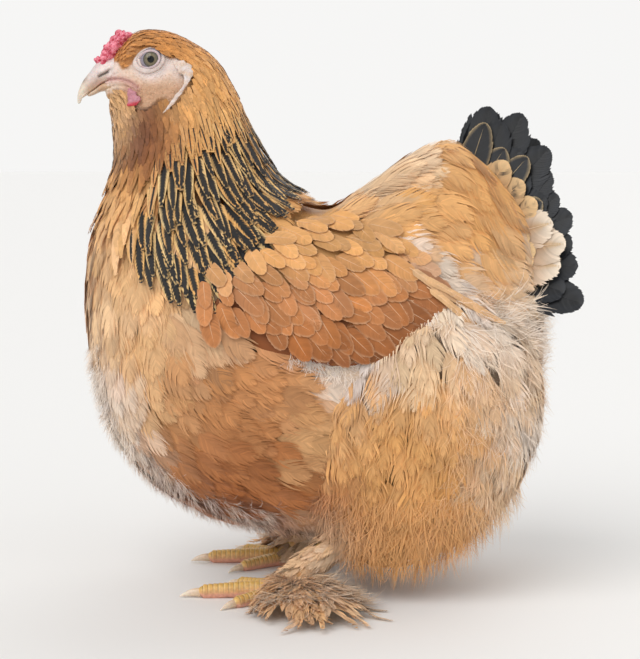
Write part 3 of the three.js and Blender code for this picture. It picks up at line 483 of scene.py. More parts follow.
def tinted(made, scale, detail, dark, pale):
    """Gives a material the colour of its piece's painted tint, clouded by a noise: tint x a level between
    dark and pale. Gives back the place on the piece, for the bumps."""
    tint = add(made, "ShaderNodeAttribute", attribute_name="Tint")
    place = add(made, "ShaderNodeTexCoord").outputs["Object"]
    cloud = add(made, "ShaderNodeTexNoise", {"Vector": place, "Scale": scale, "Detail": detail})
    levels = {"From Min": 0.3, "From Max": 0.7, "To Min": dark, "To Max": pale}
    level = add(made, "ShaderNodeMapRange", {"Value": cloud.outputs["Fac"], **levels})
    factors = {0: tint.outputs["Color"], 1: level.outputs["Result"]}
    shade = add(made, "ShaderNodeVectorMath", factors, operation="MULTIPLY")
    put(made, "Base Color", shade.outputs["Vector"])
    return place


skin_finish = material(
    "tinted_silicone_skin", Roughness=0.52, Subsurface_Weight=0.12, Subsurface_Scale=0.004
)
skin_finish.node_tree.nodes["Principled BSDF"].inputs["Subsurface Radius"].default_value = (1.0, 0.45, 0.3)
skin_place = tinted(skin_finish, 260.0, 4.0, 0.86, 1.06)
# Fine creases of the skin, about 1.5 mm apart, and pores half that size
skin_crease = add(
    skin_finish, "ShaderNodeTexNoise",
    {"Vector": skin_place, "Scale": 700.0, "Detail": 5.0, "Distortion": 1.2}
)
skin_pore = add(skin_finish, "ShaderNodeTexVoronoi", {"Vector": skin_place, "Scale": 900.0})
skin_blend = add(
    skin_finish, "ShaderNodeMix",
    {"Factor": 0.45, "A": skin_crease.outputs["Fac"], "B": skin_pore.outputs["Distance"]}
)
skin_bump = add(
    skin_finish, "ShaderNodeBump",
    {"Height": skin_blend.outputs["Result"], "Strength": 0.55, "Distance": 0.0007}
)
put(skin_finish, "Normal", skin_bump.outputs["Normal"])
skin = make_piece(
    "skin", skin_points, skin_faces, skin_finish, "bare_skin", skin_uv, skin_colour(skin_points)
)
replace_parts(skin, "head", "neck", "torso", "thigh_left", "thigh_right")

# Eyes
# Glass eyes, each a ball with a flat-painted iris under a clear dome, set deep in the socket.


def find_on_body(x, z):
    """Station and angle of the body's point that shows at x and z from the side: the nearest of a
    coarse grid, then Newton steps on the station and the cosine of the angle."""
    x, z = np.broadcast_arrays(np.asarray(x, float), np.asarray(z, float))
    target = np.stack([x, z], -1).reshape(-1, 2)

    def flat(station, level):
        middle, reach, arm, _, _ = section(BODY, BODY_ENDS, station)
        return middle + arm * (reach * level)[..., None]

    grid_s, grid_l = (
        g.ravel() for g in np.meshgrid(np.linspace(0, LAST_STATION, 61), np.linspace(-0.95, 0.95, 15))
    )
    grid = flat(grid_s, grid_l)
    near = np.array([], int)
    # A few thousand places at a time, to spare memory
    for part in np.array_split(target, max(1, len(target) // 4000)):
        gaps = ((part[:, None] - grid[None]) ** 2).sum(-1)
        near = np.append(near, gaps.argmin(1))
    s, level = grid_s[near], grid_l[near]
    for _ in range(6):
        miss = target - flat(s, level)
        along = (flat(s + 0.01, level) - flat(s - 0.01, level)) / 0.02
        down = (flat(s, level + 0.01) - flat(s, level - 0.01)) / 0.02
        det = along[:, 0] * down[:, 1] - along[:, 1] * down[:, 0]
        det = np.where(np.abs(det) < 1e-6, 1e-6, det)
        s = s + np.clip((miss[:, 0] * down[:, 1] - miss[:, 1] * down[:, 0]) / det, -1, 1)
        level = level + np.clip((along[:, 0] * miss[:, 1] - along[:, 1] * miss[:, 0]) / det, -0.5, 0.5)
        level = np.clip(level, -0.999, 0.999)
    return s.reshape(x.shape), np.arccos(level).reshape(x.shape)


def on_side(x, z, side, height=0.0):
    """The place over the body's side that shows at x and z, at a height out from the surface."""
    station, angle = find_on_body(x, z)
    here, _, _, up = frame_on(body, station, angle)
    here = here + up * np.asarray(height)[..., None] if np.ndim(height) else here + up * height
    return here * np.array([1, side, 1])


# Edges of iris and pupil, in degrees from the middle of the dome
IRIS, PUPIL, EYE_WHITE = 37.5, 16.5, paint("#8F8791")
IRIS_INNER, IRIS_OUTER, IRIS_RIM, PUPIL_BLACK = (
    paint(c) for c in ("#7C7056", "#625C4D", "#2A2721", "#040404")
)
eye_glass = material("painted_eye_glass", Roughness=0.05, IOR=1.42)
tinted(eye_glass, 1500.0, 2.0, 0.7, 1.25)

eye_centre = on_side(EYE_X, EYE_Z, 1, 0.0)
eye_centre[1] -= EYE_SUNK
eye_rows = np.radians(np.concatenate([
    [0.5, 5, 10, 14.8, 15.6, 16.4, 20, 25, 30, 35, 37.5, 38.6, 39.6, 41, 44], np.linspace(48, 179.5, 26),
]))
polar, round_axis = np.meshgrid(eye_rows, full_turn(64), indexing="ij")
dome = EYE_RADIUS * (1 + 0.035 * bell(np.degrees(polar), 34))
away = [np.sin(polar) * np.cos(round_axis), np.cos(polar), np.sin(polar) * np.sin(round_axis)]
forward = unit(np.array([0.02, 1.0, 0.0]))
sideways = unit(np.cross(forward, [0, 0, 1]))
ball = away[0][..., None] * sideways + away[1][..., None] * forward
ball = ball + away[2][..., None] * np.cross(sideways, forward)
for name, side in SIDES.items():
    points, faces = closed_loft((eye_centre + ball * dome[..., None]) * np.array([1, side, 1]))
    degrees = np.append(np.degrees(polar).ravel(), [0, 180])
    colour = np.broadcast_to(PUPIL_BLACK, (len(points), 3)).copy()
    colour += (IRIS_INNER - colour) * blend(PUPIL - 1.5, PUPIL + 1.5, degrees)[:, None]
    colour += (IRIS_OUTER - colour) * blend(20, 33, degrees)[:, None]
    colour += (IRIS_RIM - colour) * blend(35, 38.5, degrees)[:, None]
    colour += (EYE_WHITE - colour) * blend(IRIS, 43, degrees)[:, None]
    if side > 0:
        faces = [rows[:, ::-1] for rows in faces]
    eye = make_piece(f"eye_{name}_glass", points, faces, eye_glass, "eye_brown", None, colour)
    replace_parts(eye, f"eye_{name}")

# Lids
# A thin rim of skin round each eye, drawn to a corner in front, with a second fold outside it.
lid_finish = skin_finish.copy()
lid_finish.name = "tinted_silicone_lid"
LID_STEPS, LID_TURNS = 96, 16
# The rim, which lies on the eye, and the outer fold, which lies on the skin: whether it lies on the skin,
# half width, half height, thickness, depth in the skin and colour
LID_FOLDS = [(False, 7.0, 5.9, 0.85, 0.2, "#C9B3B4"), (True, 9.1, 7.9, 1.6, 1.1, "#D9C6BE")]


def tube(line, across, up, wide, high, turns=LID_TURNS):
    """A tube along a line: each ring is line + across x wide x cos(t) + up x high x sin(t)."""
    t = full_turn(turns)[None, :, None]
    wide, high = (
        np.broadcast_to(np.asarray(size, float), line.shape[:1])[:, None, None] for size in (wide, high)
    )
    return line[:, None] + across[:, None] * wide * np.cos(t) + up[:, None] * high * np.sin(t)


for name, side in SIDES.items():
    t = full_turn(LID_STEPS)
    points, faces, colours = [], [], []
    for on_skin, wide, tall, girth, sunk, shade in LID_FOLDS:
        dx = wide * np.cos(t) - 1.2 - 0.8 * bell(t - np.pi, 0.5)
        dz = tall * np.sin(t) * np.where(t < np.pi, 1, 0.94) + 0.14 * dx
        ball_y = np.sqrt(np.maximum((EYE_RADIUS + 0.3) ** 2 - dx**2 - dz**2, 0))
        rim = eye_centre + np.stack([dx, ball_y, dz], -1)
        skin_y = on_side(rim[:, 0], rim[:, 2], 1, 0.2)[:, 1]
        over = blend(-0.2, 0.5, np.sin(t)) if on_skin else 0 * t
        fold_y = np.maximum(rim[:, 1], skin_y) - sunk - 1.2 * over
        rim[:, 1] = fold_y if on_skin else np.maximum(rim[:, 1], 0)
        ahead = unit(np.roll(rim, -1, 0) - np.roll(rim, 1, 0))
        up = unit(np.array([0, 1.0, 0]) - ahead * ahead[:, 1:2])
        ring = tube(rim, np.cross(ahead, up), up, girth * (1 - 0.5 * over), 0.7 - 0.25 * over)
        ring = (ring + up[:, None] * (0.14 * ripple(ring, 1.6, 31))[..., None]) * np.array([1, side, 1])
        turn = np.arange(LID_TURNS)
        after, last = (turn + 1) % LID_TURNS, (LID_STEPS - 1) * LID_TURNS
        close = np.stack([last + turn, last + after, after, turn], -1)
        rows = np.concatenate([grid_faces(LID_STEPS, LID_TURNS), close])
        faces.append(rows + sum(len(p) for p in points))
        points.append(ring.reshape(-1, 3))
        colours.append(np.broadcast_to(paint(shade), (LID_STEPS * LID_TURNS, 3)))
    if side > 0:
        faces = [rows[:, ::-1] for rows in faces]
    points, colours = np.concatenate(points), np.concatenate(colours)
    make_piece(f"lids_{name}", points, faces, lid_finish, "bare_skin", None, colours)

# Beak
# Two horn sheaths, cast in resin and tinted: the upper one hooked, with a ridge along its top and the
# nostril's slit near its root, and the lower one closing inside it.

# Sections like the body's, from root to tip
BEAK_UPPER = np.array([
    [-149, 350.2, -150.8, 367.2, 8.8, 0],
    [-157.9, 348.2, -161.2, 363.3, 7.2, -0.1],
    [-164.9, 343.7, -167.3, 356.5, 5.6, -0.1],
    [-170.3, 340.4, -172.7, 349.2, 3.9, -0.1],
    [-173.8, 338.2, -175.5, 342.8, 2.2, 0],
], float)
BEAK_LOWER = np.array([
    [-150.1, 341.8, -149, 351.1, 8.4, 0],
    [-158.5, 343.3, -157.9, 349.2, 6.2, 0],
    [-164.9, 341, -164.9, 344.3, 3.6, 0],
], float)
NOSTRIL_LINE = np.array([[-160.8, 353.2], [-158.9, 354.2], [-156.3, 355.4], [-153.2, 357.2]])
HORN_WHITE, HORN_TAN, HORN_TIP, HORN_BROWN = (
    paint(c) for c in ("#DCCBC5", "#C19C7A", "#E2D2BE", "#6F4C33")
)
horn = material(
    "tinted_resin_horn", Roughness=0.36, Coat_Weight=0.25, Coat_Roughness=0.25, Subsurface_Weight=0.1,
    Subsurface_Scale=0.002
)
horn_place = tinted(horn, 420.0, 4.0, 0.82, 1.08)
# Growth lines of the horn, about 0.6 mm apart
horn_lines = add(
    horn, "ShaderNodeTexWave",
    {"Vector": horn_place, "Scale": 260.0, "Distortion": 4.0, "Detail": 3.0}, bands_direction="DIAGONAL"
)
horn_bump = add(
    horn, "ShaderNodeBump", {"Height": horn_lines.outputs["Fac"], "Strength": 0.12, "Distance": 0.0004}
)
put(horn, "Normal", horn_bump.outputs["Normal"])


def beak_part(name, node, rows, ends, relief, colour):
    """A beak's sheath: its loft pushed out by a relief and painted by place."""
    surface = lofted(rows, np.array(ends, float))
    last = len(rows) - 1
    ends_in = 1 - 0.97 * np.sin(np.linspace(0, np.pi / 2, 12))
    tip = last + np.linspace(0.06, 0.97, 12)
    stations = np.sort(np.concatenate([-ends_in[1:], np.linspace(0, last, 90), tip]))
    grid = np.meshgrid(stations, full_turn(72), indexing="ij")
    place, _, _, up = frame_on(surface, *grid)
    place = place + up * relief(place, grid[1])[..., None]
    points, faces = closed_loft(place)
    piece = make_piece(name, points, faces, horn, "horn", None, colour(points))
    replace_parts(piece, node)


def upper_relief(place, angle):
    """A sharp ridge on top, a rolled cutting edge, the nostril's slit and the flap of skin over it."""
    x, z = place[..., 0], place[..., 2]
    ridge = 0.55 * bell((angle % (2 * np.pi)) - np.pi, 0.22) * blend(-153, -161, x)
    edge = 0.5 * bell(np.abs(((angle + np.pi) % (2 * np.pi)) - np.pi) - 0.75, 0.16)
    slit = off_line(x, z, NOSTRIL_LINE)
    return ridge + edge - 1.7 * bell(slit, 0.8) + 0.8 * bell(off_line(x, z, NOSTRIL_LINE + [0.3, 2.2]), 1.3)


def upper_colour(points):
    """White horn, tan along the middle and pale at the tip, with a brown spot, a pink lip and painted shade
    in the nostrils.
    """
    x, z = points[:, 0], points[:, 2]
    tan = 0.9 * bell(z - 348.5 - (x + 158) * 0.5, 5.5) * blend(-150, -161, x)
    colour = HORN_WHITE + (HORN_TAN - HORN_WHITE) * tan[:, None]
    colour += (HORN_TIP - colour) * blend(-167, -173, x)[:, None]
    colour += (HORN_BROWN - colour) * (0.75 * bell(np.hypot(x + 172.6, z - 351.5), 2.6))[:, None]
    colour += (LIP_PINK - colour) * (0.5 * bell(z - 348.2, 2.0) * blend(-169, -159, x))[:, None]
    # Painted shade: the nostril's slit darkened to a deep brown, as the shade inside it
    slit = 0.95 * bell(off_line(x, z, NOSTRIL_LINE), 0.75)
    return colour + (HORN_BROWN * 0.35 - colour) * slit[:, None]


def lower_colour(points):
    """Tan horn, paler towards the tip."""
    mix = (0.6 * blend(-157, -169, points[:, 0]))[:, None]
    return HORN_TAN * 0.96 + (HORN_TIP * 0.9 - HORN_TAN * 0.96) * mix


def lower_relief(place, angle):
    """A rolled cutting edge."""
    return 0.25 * bell(np.abs(((angle + np.pi) % (2 * np.pi)) - np.pi) - 2.2, 0.3)


UPPER_ENDS, LOWER_ENDS = [[-143, 358], [-175.8, 335.5]], [[-143.1, 346.2], [-169.4, 340.4]]
beak_part("upper_beak_horn", "beak_upper", BEAK_UPPER, UPPER_ENDS, upper_relief, upper_colour)
beak_part("lower_beak_horn", "beak_lower", BEAK_LOWER, LOWER_ENDS, lower_relief, lower_colour)

# Comb
# A pea comb of three rows of fleshy knobs over the forehead, cast in tinted silicone in one piece.
COMB_LINE = np.array([[-157.0, 361.4], [-153.2, 368.2], [-149.0, 375.4], [-143.8, 381.6]])
comb_skin = material(
    "tinted_silicone_comb", Roughness=0.38, Coat_Weight=0.2, Coat_Roughness=0.35, Subsurface_Weight=0.2,
    Subsurface_Scale=0.003
)
comb_skin.node_tree.nodes["Principled BSDF"].inputs["Subsurface Radius"].default_value = (1.0, 0.3, 0.25)
comb_place = add(comb_skin, "ShaderNodeTexCoord").outputs["Object"]
comb_cloud = add(comb_skin, "ShaderNodeTexNoise", {"Vector": comb_place, "Scale": 380.0, "Detail": 4.0})
comb_ramp = add(comb_skin, "ShaderNodeValToRGB", {"Fac": comb_cloud.outputs["Fac"]})
comb_ramp.color_ramp.elements[0].position, comb_ramp.color_ramp.elements[1].position = 0.38, 0.62
comb_ramp.color_ramp.elements[0].color = (*paint("#B61F40"), 1)
comb_ramp.color_ramp.elements[1].color = (*paint("#F090A0"), 1)
put(comb_skin, "Base Color", comb_ramp.outputs["Color"])
comb_grain = add(comb_skin, "ShaderNodeTexVoronoi", {"Vector": comb_place, "Scale": 1100.0})
comb_bump = add(
    comb_skin, "ShaderNodeBump",
    {"Height": comb_grain.outputs["Distance"], "Strength": 0.4, "Distance": 0.0004}
)
put(comb_skin, "Normal", comb_bump.outputs["Normal"])


def knobs(places, sizes, rows=12, columns=16):
    """Balls at places: each a grid of points at the sine and cosine of its latitude and longitude."""
    lat, lon = np.meshgrid(np.linspace(0.12, np.pi - 0.12, rows), full_turn(columns), indexing="ij")
    ball = np.stack([np.sin(lat) * np.cos(lon), np.sin(lat) * np.sin(lon), np.cos(lat)], -1)
    points, faces = closed_loft(ball)
    count = len(points)
    shifts = np.arange(len(places))[:, None, None] * count
    faces = [(rows[None] + shifts).reshape(-1, rows.shape[1]) for rows in faces]
    return (places[:, None] + points[None] * sizes[:, None]).reshape(-1, 3), faces


def fused(name, points, faces, voxel, smooth, made):
    """Overlapping balls made one skin by a voxel remesh, then smoothed."""
    rough = make_piece("rough", points, faces, made, None)
    remesh = rough.modifiers.new("fuse", "REMESH")
    remesh.mode, remesh.voxel_size = "VOXEL", voxel / 1000
    soften = rough.modifiers.new("soften", "SMOOTH")
    soften.factor, soften.iterations = 0.5, smooth
    mesh = bpy.data.meshes.new_from_object(rough.evaluated_get(bpy.context.evaluated_depsgraph_get()))
    bpy.data.objects.remove(rough)
    mesh.name = name
    mesh.polygons.foreach_set("use_smooth", np.full(len(mesh.polygons), True))
    piece = bpy.data.objects.new(name, mesh)
    bpy.context.collection.objects.link(piece)
    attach(piece, "root")
    return piece


# Eight knobs in each row, twelve in the ridge they stand on, and small beads over them
comb_rng = np.random.default_rng(3)
BEADS = 90
comb_along = np.concatenate([np.tile(np.linspace(0.04, 0.96, 8), 3), np.linspace(0, 1, 12)])
comb_row = np.repeat([0, -1, 1, 2], [8, 8, 8, 12])
comb_swell = 0.94 + 0.12 * comb_along
comb_mid = follow(COMB_LINE, comb_along)
comb_ahead = unit(follow(COMB_LINE, comb_along + 0.02) - follow(COMB_LINE, comb_along - 0.02))
comb_out = np.choose(np.abs(comb_row), [3.0, -0.2, -3.6]) + 1.0 * (1 - comb_along)
comb_out = comb_out + comb_rng.normal(0, 0.5, len(comb_row))
comb_mid = comb_mid + np.stack([-comb_ahead[:, 1], comb_ahead[:, 0]], -1) * comb_out[:, None]
comb_off = np.choose(np.abs(comb_row), [0, 1, 0]) * comb_row * 4.4 * comb_swell
comb_places = np.stack([comb_mid[:, 0], comb_off, comb_mid[:, 1]], -1)
comb_places += comb_rng.normal(0, 0.3, comb_places.shape)
comb_sizes = (np.choose(np.abs(comb_row), [3.0, 3.0, 4.8]) * comb_swell)[:, None]
comb_sizes = comb_sizes * comb_rng.uniform(0.82, 1.12, (len(comb_row), 3))
pick = comb_rng.integers(0, 24, BEADS)
bead_way = unit(comb_rng.normal(size=(BEADS, 3)) + np.array([-0.5, 0, 0.6]))
bead_places = comb_places[pick] + bead_way * comb_sizes[pick] * 0.95
bead_sizes = np.repeat(comb_rng.uniform(0.8, 1.7, BEADS)[:, None], 3, 1)
comb_places = np.concatenate([comb_places, bead_places])
comb_points, comb_faces = knobs(comb_places, np.concatenate([comb_sizes, bead_sizes]))
comb = fused("pea_comb", comb_points, comb_faces, 0.33, 3, comb_skin)
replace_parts(comb, "comb")

# Wattles and ear lobes
# The small wattle is a soft fold under the mouth's corner. The ear lobe is a white pad behind the ear
# that thins into a fold down the cheek. Both are cast with the face.
wattle_skin = lid_finish.copy()
wattle_skin.name = "tinted_silicone_wattle"
wattle_skin.node_tree.nodes["Principled BSDF"].inputs["Roughness"].default_value = 0.4
LOBE_LINE = np.array([
    [-108.5, 362.6], [-103, 359.8], [-99.4, 355.6], [-98.8, 350.6], [-101.2, 345.4], [-105.2, 339.6],
    [-109.8, 333.6], [-115.2, 327.6]
])
LOBE_WIDE = np.array([2.2, 4.4, 4.0, 2.0, 1.0, 1.4, 1.2, 0.6])
WATTLE_LINE = np.array([
    [-138.9, 344.8], [-137.8, 341.6], [-136.2, 338.4], [-134.6, 335.4], [-133.6, 333.4]
])
WATTLE_WIDE = np.array([1.0, 2.8, 4.2, 4.8, 2.8])
WATTLE_MAUVE, WATTLE_RIM, LOBE_WHITE = (paint(code) for code in ("#C2828C", "#D8404F", "#E6D6D0"))


def fold_of_skin(name, node, line, wide, thick, made, slot, side, tint):
    """A flattened tube laid over the cheek along a line, its edge and face uneven by a ripple."""
    share = np.linspace(0, 1, 90)
    flat = follow(line, share)
    half = follow(wide, share) * np.sqrt(np.clip(1 - (2 * share - 1) ** 8, 0.02, 1))
    middle = on_side(flat[:, 0], flat[:, 1], 1, 0.35)
    ahead = unit(np.gradient(middle, axis=0))
    up = unit(on_side(flat[:, 0], flat[:, 1], 1, 2.0) - middle)
    ring = tube(middle, np.cross(ahead, up), up, half, thick * (0.5 + 0.5 * half / half.max()), 28)
    ring += up[:, None] * (ripple(ring, 3.2, 5) * 0.34 + ripple(ring, 1.3, 8) * 0.16)[..., None]
    ring += (ring - middle[:, None]) * (0.22 * ripple(ring, 4.0, 14))[..., None]
    points, faces = closed_loft(ring * np.array([1, side, 1]))
    if side > 0:
        faces = [rows[:, ::-1] for rows in faces]
    colour = tint(points) * (0.95 + 0.05 * ripple(points, 2.0, 4))[:, None]
    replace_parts(make_piece(name, points, faces, made, slot, None, colour), node)


def lobe_tint(points):
    """White with cream clouds."""
    return LOBE_WHITE + (CHEEK_CREAM - LOBE_WHITE) * (0.45 + 0.45 * ripple(points, 5.0, 9))[:, None]


def wattle_tint(points):
    """Mauve, red along the lower rim."""
    low = blend(336.5, 334.2, points[:, 2] - 0.2 * (points[:, 0] + 134))
    return WATTLE_MAUVE + (WATTLE_RIM - WATTLE_MAUVE) * low[:, None]


for name, side in SIDES.items():
    fold_of_skin(
        f"wattle_{name}_fold", f"wattle_{name}", WATTLE_LINE, WATTLE_WIDE, 1.5, wattle_skin, "comb_skin",
        side, wattle_tint
    )
    fold_of_skin(
        f"ear_lobe_{name}_pad", f"ear_lobe_{name}", LOBE_LINE, LOBE_WIDE, 0.8, lid_finish, "bare_skin",
        side, lobe_tint
    )

# Coat
# Every feather is cut from dyed sheet as a shaft with its barbs: narrow strips that lie side by side into
# a vane, or stand apart as down. The vanes lie along the body like shingles, each one over the roots of
# those behind it. The next functions make them for all the sections below.
feather = material("dyed_feather_barbs", Roughness=0.62, Sheen_Weight=0.2, Sheen_Roughness=0.5, IOR=1.4)
# Uneven dye in patches of a few millimetres
tinted(feather, 120.0, 4.0, 0.93, 1.06)
coat_rng = np.random.default_rng(11)
# Random places tried wherever roots are spread
TRIES = 60000


def scatter(surface, u_range, v_range, gap, keep=None, stretch=1.0):
    """Roots spread evenly over part of a surface, none nearer to another than the gap, which is stretch
    times as long in the surface's first direction. Random places are thinned to one in each small cube,
    then taken in rounds: each round keeps the places that have no earlier one near them."""
    u, v = coat_rng.uniform(*u_range, TRIES), coat_rng.uniform(*v_range, TRIES)
    if keep is not None:
        kept = keep(u, v)
        u, v = u[kept], v[kept]
    _, first = np.unique(np.floor(surface(u, v) / (0.42 * gap)).astype(int), axis=0, return_index=True)
    first = coat_rng.permutation(first)
    u, v = u[first], v[first]
    place, along, _, _ = (part.astype(np.float32) for part in frame_on(surface, u, v))
    square = (place**2).sum(-1)
    ahead = place @ along.T - (place * along).sum(-1)
    apart = square[:, None] + square - 2 * place @ place.T - ahead**2 * (1 - 1 / stretch**2)
    near = apart < gap**2
    earlier = near & (np.arange(len(u))[:, None] > np.arange(len(u)))
    left, taken = np.ones(len(u), bool), np.zeros(len(u), bool)
    while left.any():
        pick = left & ~(earlier & left).any(1)
        taken |= pick
        left &= ~pick & ~(near & pick).any(1)
    return u[taken], v[taken]


def pace(surface, u, v):
    """Millimetres that one step in the surface's first direction covers at u and v."""
    return np.linalg.norm((surface(u + 0.05, v) - surface(u - 0.05, v)) / 0.1, axis=-1)


def trace(surface, u, v, length, steps, turn=0.0, bend=0.0):
    """Lines over a surface from u and v: each step is a share of the length along the surface's first
    direction, turned towards its second by turn and then steadily more by bend. Gives the points and
    the outward directions."""
    u, v = np.array(u, float), np.array(v, float)
    points, ups = [], []
    for k in range(steps + 1):
        here, along, across, up = frame_on(surface, u, v)
        points.append(here)
        ups.append(up)
        way = np.asarray(turn + bend * k / steps)
        ahead = along * np.cos(way)[..., None] + across * np.sin(way)[..., None]
        ahead = ahead * (np.asarray(length) / steps)[..., None]
        first = (surface(u + 0.01, v) - surface(u - 0.01, v)) / 0.02
        second = (surface(u, v + 0.01) - surface(u, v - 0.01)) / 0.02
        aa, ab, bb = (first * first).sum(-1), (first * second).sum(-1), (second * second).sum(-1)
        ra, rb = (first * ahead).sum(-1), (second * ahead).sum(-1)
        det = np.maximum(aa * bb - ab * ab, 1e-6)
        u = u + np.clip((ra * bb - rb * ab) / det, -0.6, 0.6)
        v = v + np.clip((rb * aa - ra * ab) / det, -0.6, 0.6)
    return np.stack(points, 1), np.stack(ups, 1)


def lay(line, up, length, local):
    """Carries a feather's own coordinates (across, along, up in millimetres) onto its line."""
    steps = line.shape[1] - 1
    place = local[..., 1] / length[:, None] * steps
    i = np.clip(place.astype(int), 0, steps - 1)
    t = (place - i)[..., None]
    rows = np.arange(len(line))[:, None]
    low, high = line[rows, i], line[rows, i + 1]
    ways = unit(np.gradient(line, axis=1))
    ahead = unit(ways[rows, i] * (1 - t) + ways[rows, i + 1] * t)
    normal = unit(up[rows, i] * (1 - t) + up[rows, i + 1] * t)
    return low + (high - low) * t + np.cross(normal, ahead) * local[..., 0:1] + normal * local[..., 2:3]


def strips(spine, wide, twist):
    """Strips along spines given as points in feather coordinates: a pair of edges at each point, square
    to the way the strip runs and tilted by its twist, and one point at the tip."""
    ahead = np.gradient(spine, axis=2)
    square = unit(np.stack([ahead[..., 1], -ahead[..., 0], np.zeros(ahead.shape[:-1])], -1))
    square = square + np.array([0, 0, 1.0]) * twist[..., None, None]
    edge = square * wide[..., None] / 2
    count, barbs, steps, _ = spine.shape
    pairs = np.stack([spine - edge, spine + edge], 3)[:, :, :-1].reshape(count, barbs, -1, 3)
    local = np.concatenate([pairs, spine[:, :, -1:]], 2)
    a = np.arange(steps - 2) * 2
    quads = np.stack([a, a + 1, a + 3, a + 2], -1)
    tip = np.array([[2 * steps - 4, 2 * steps - 3, 2 * steps - 2]])
    shifts = (np.arange(count * barbs) * (2 * steps - 1))[:, None, None]
    return local, [(quads + shifts).reshape(-1, 4), (tip + shifts).reshape(-1, 3)]


def outline(share, base, widest, point):
    """A vane's half width at a share of its length: from base up to 1 at the widest place, then round
    (point 2) or pointed (point near 1) to the tip."""
    below = base + (1 - base) * np.sin(np.clip(share / widest, 0, 1) * np.pi / 2)
    above = (1 - np.clip((share - widest) / (1 - widest), 0, 1) ** point) ** (1 / point)
    return np.where(share < widest, below, above)


# Where a barb's points lie along it, by how many there are
BARB_MARKS = {3: [0, 0.65, 1], 4: [0, 0.42, 0.78, 1], 5: [0, 0.3, 0.6, 0.88, 1]}


def vane_barbs(
    count, pairs, marks, length, half, base=0.6, widest=0.6, point=2.0, sweep=1.6, rag=0.08, start=0.3,
    fill=1.25, loose=0.3, cup=0.05, firm=0.6
):
    """Barbs of a vane: their roots are evenly spaced along the shaft and they run forward and out to the
    outline, bowed towards it, tapering past the firm part. They cling in groups: a sawtooth along the
    vane makes their ends uneven by rag and lifts them by loose. Cup rounds the vane down to its edges.
    Marks says how many points a barb has, or where they lie along it."""
    slender = float((half / length).mean())
    fine = np.linspace(0, 1, 600)
    hinge = np.maximum.accumulate(fine - 0.03 - sweep * slender * outline(fine, base, widest, point))
    place = np.linspace(0, 1, pairs)
    root = start + (hinge[-1] - start) * place
    end = np.interp(root, hinge, fine)
    reach = outline(end, base, widest, point)
    t = np.array(BARB_MARKS[marks] if np.isscalar(marks) else marks)
    groups = place * coat_rng.uniform(1.5, 4.5, (count, 2, 1)) + coat_rng.uniform(0, 1, (count, 2, 1))
    groups = groups % 1 - 0.5
    loner = coat_rng.uniform(-0.5, 0.5, (count, 2, pairs))
    ragged = 1 + rag * (1.4 * groups + 0.9 * loner)
    out = reach * half[:, None]
    x = (out[:, None] * ragged)[..., None] * np.sin(t * np.pi / 2) ** 0.9 - 0.3 * (1 - t)
    x = x * np.array([-1, 1])[:, None, None]
    y = root[:, None] + ((end - root) * ragged)[..., None] * t**1.2
    y = y * length[:, None, None, None]
    lift = (loose * (groups + 0.5 + 0.4 * loner))[..., None] * t
    lift = lift - cup * x**2 / half[:, None, None, None] * 1.6
    spine = np.stack([x, y, lift + np.zeros_like(x)], -1)
    gap = np.linalg.norm(np.gradient(spine[..., :2], axis=2), axis=-1)
    wide = np.maximum(gap * fill, 0.3) * np.minimum(1, (1 - t) / (1 - firm))
    shape = (count, 2 * pairs, len(t))
    return spine.reshape(*shape, 3), wide.reshape(shape)


def down_barbs(count, barbs, steps, length, spread, girth=0.8, lift=2.5, curl=0.5):
    """Barbs of a tuft of down: they fan from the root within the spread, each bent by its own curl and
    raised towards its tip."""
    fan = (np.linspace(-1, 1, barbs) + coat_rng.uniform(-0.25, 0.25, (count, barbs))) * spread
    reach = length[:, None] * coat_rng.uniform(0.55, 1.05, (count, barbs))
    reach = reach * (1 - 0.15 * np.abs(fan / max(spread, 0.01)))
    t = np.linspace(0, 1, steps)
    way = fan[..., None] * (0.55 + 0.45 * t) + coat_rng.normal(0, curl, (count, barbs, 1)) * t**1.5
    x, y = np.sin(way) * reach[..., None] * t, np.cos(way) * reach[..., None] * t
    up = coat_rng.uniform(-0.3, 1.0, (count, barbs, 1)) * lift * t**1.4
    taper = np.array([0.75, 1.0, 0.75, 0.5, 0.3])[np.minimum(np.arange(steps), 4)]
    wide = girth * taper * np.ones((count, barbs, 1))
    wide[..., -1] = 0
    return np.stack([x, y, up + np.zeros_like(x)], -1), wide


def with_shaft(spine, wide, length, places, height, girth):
    """A vane's barbs with its shaft as one more strip: points at places along the length and at a height
    over the vane, as wide as girth says."""
    shaft = np.zeros((len(length), 1, len(places), 3))
    shaft[..., 1] = length[:, None, None] * np.array(places)
    shaft[..., 2] = height
    girth = np.broadcast_to(girth, shaft.shape[:3])
    return np.concatenate([spine, shaft], 1), np.concatenate([wide, girth], 1)


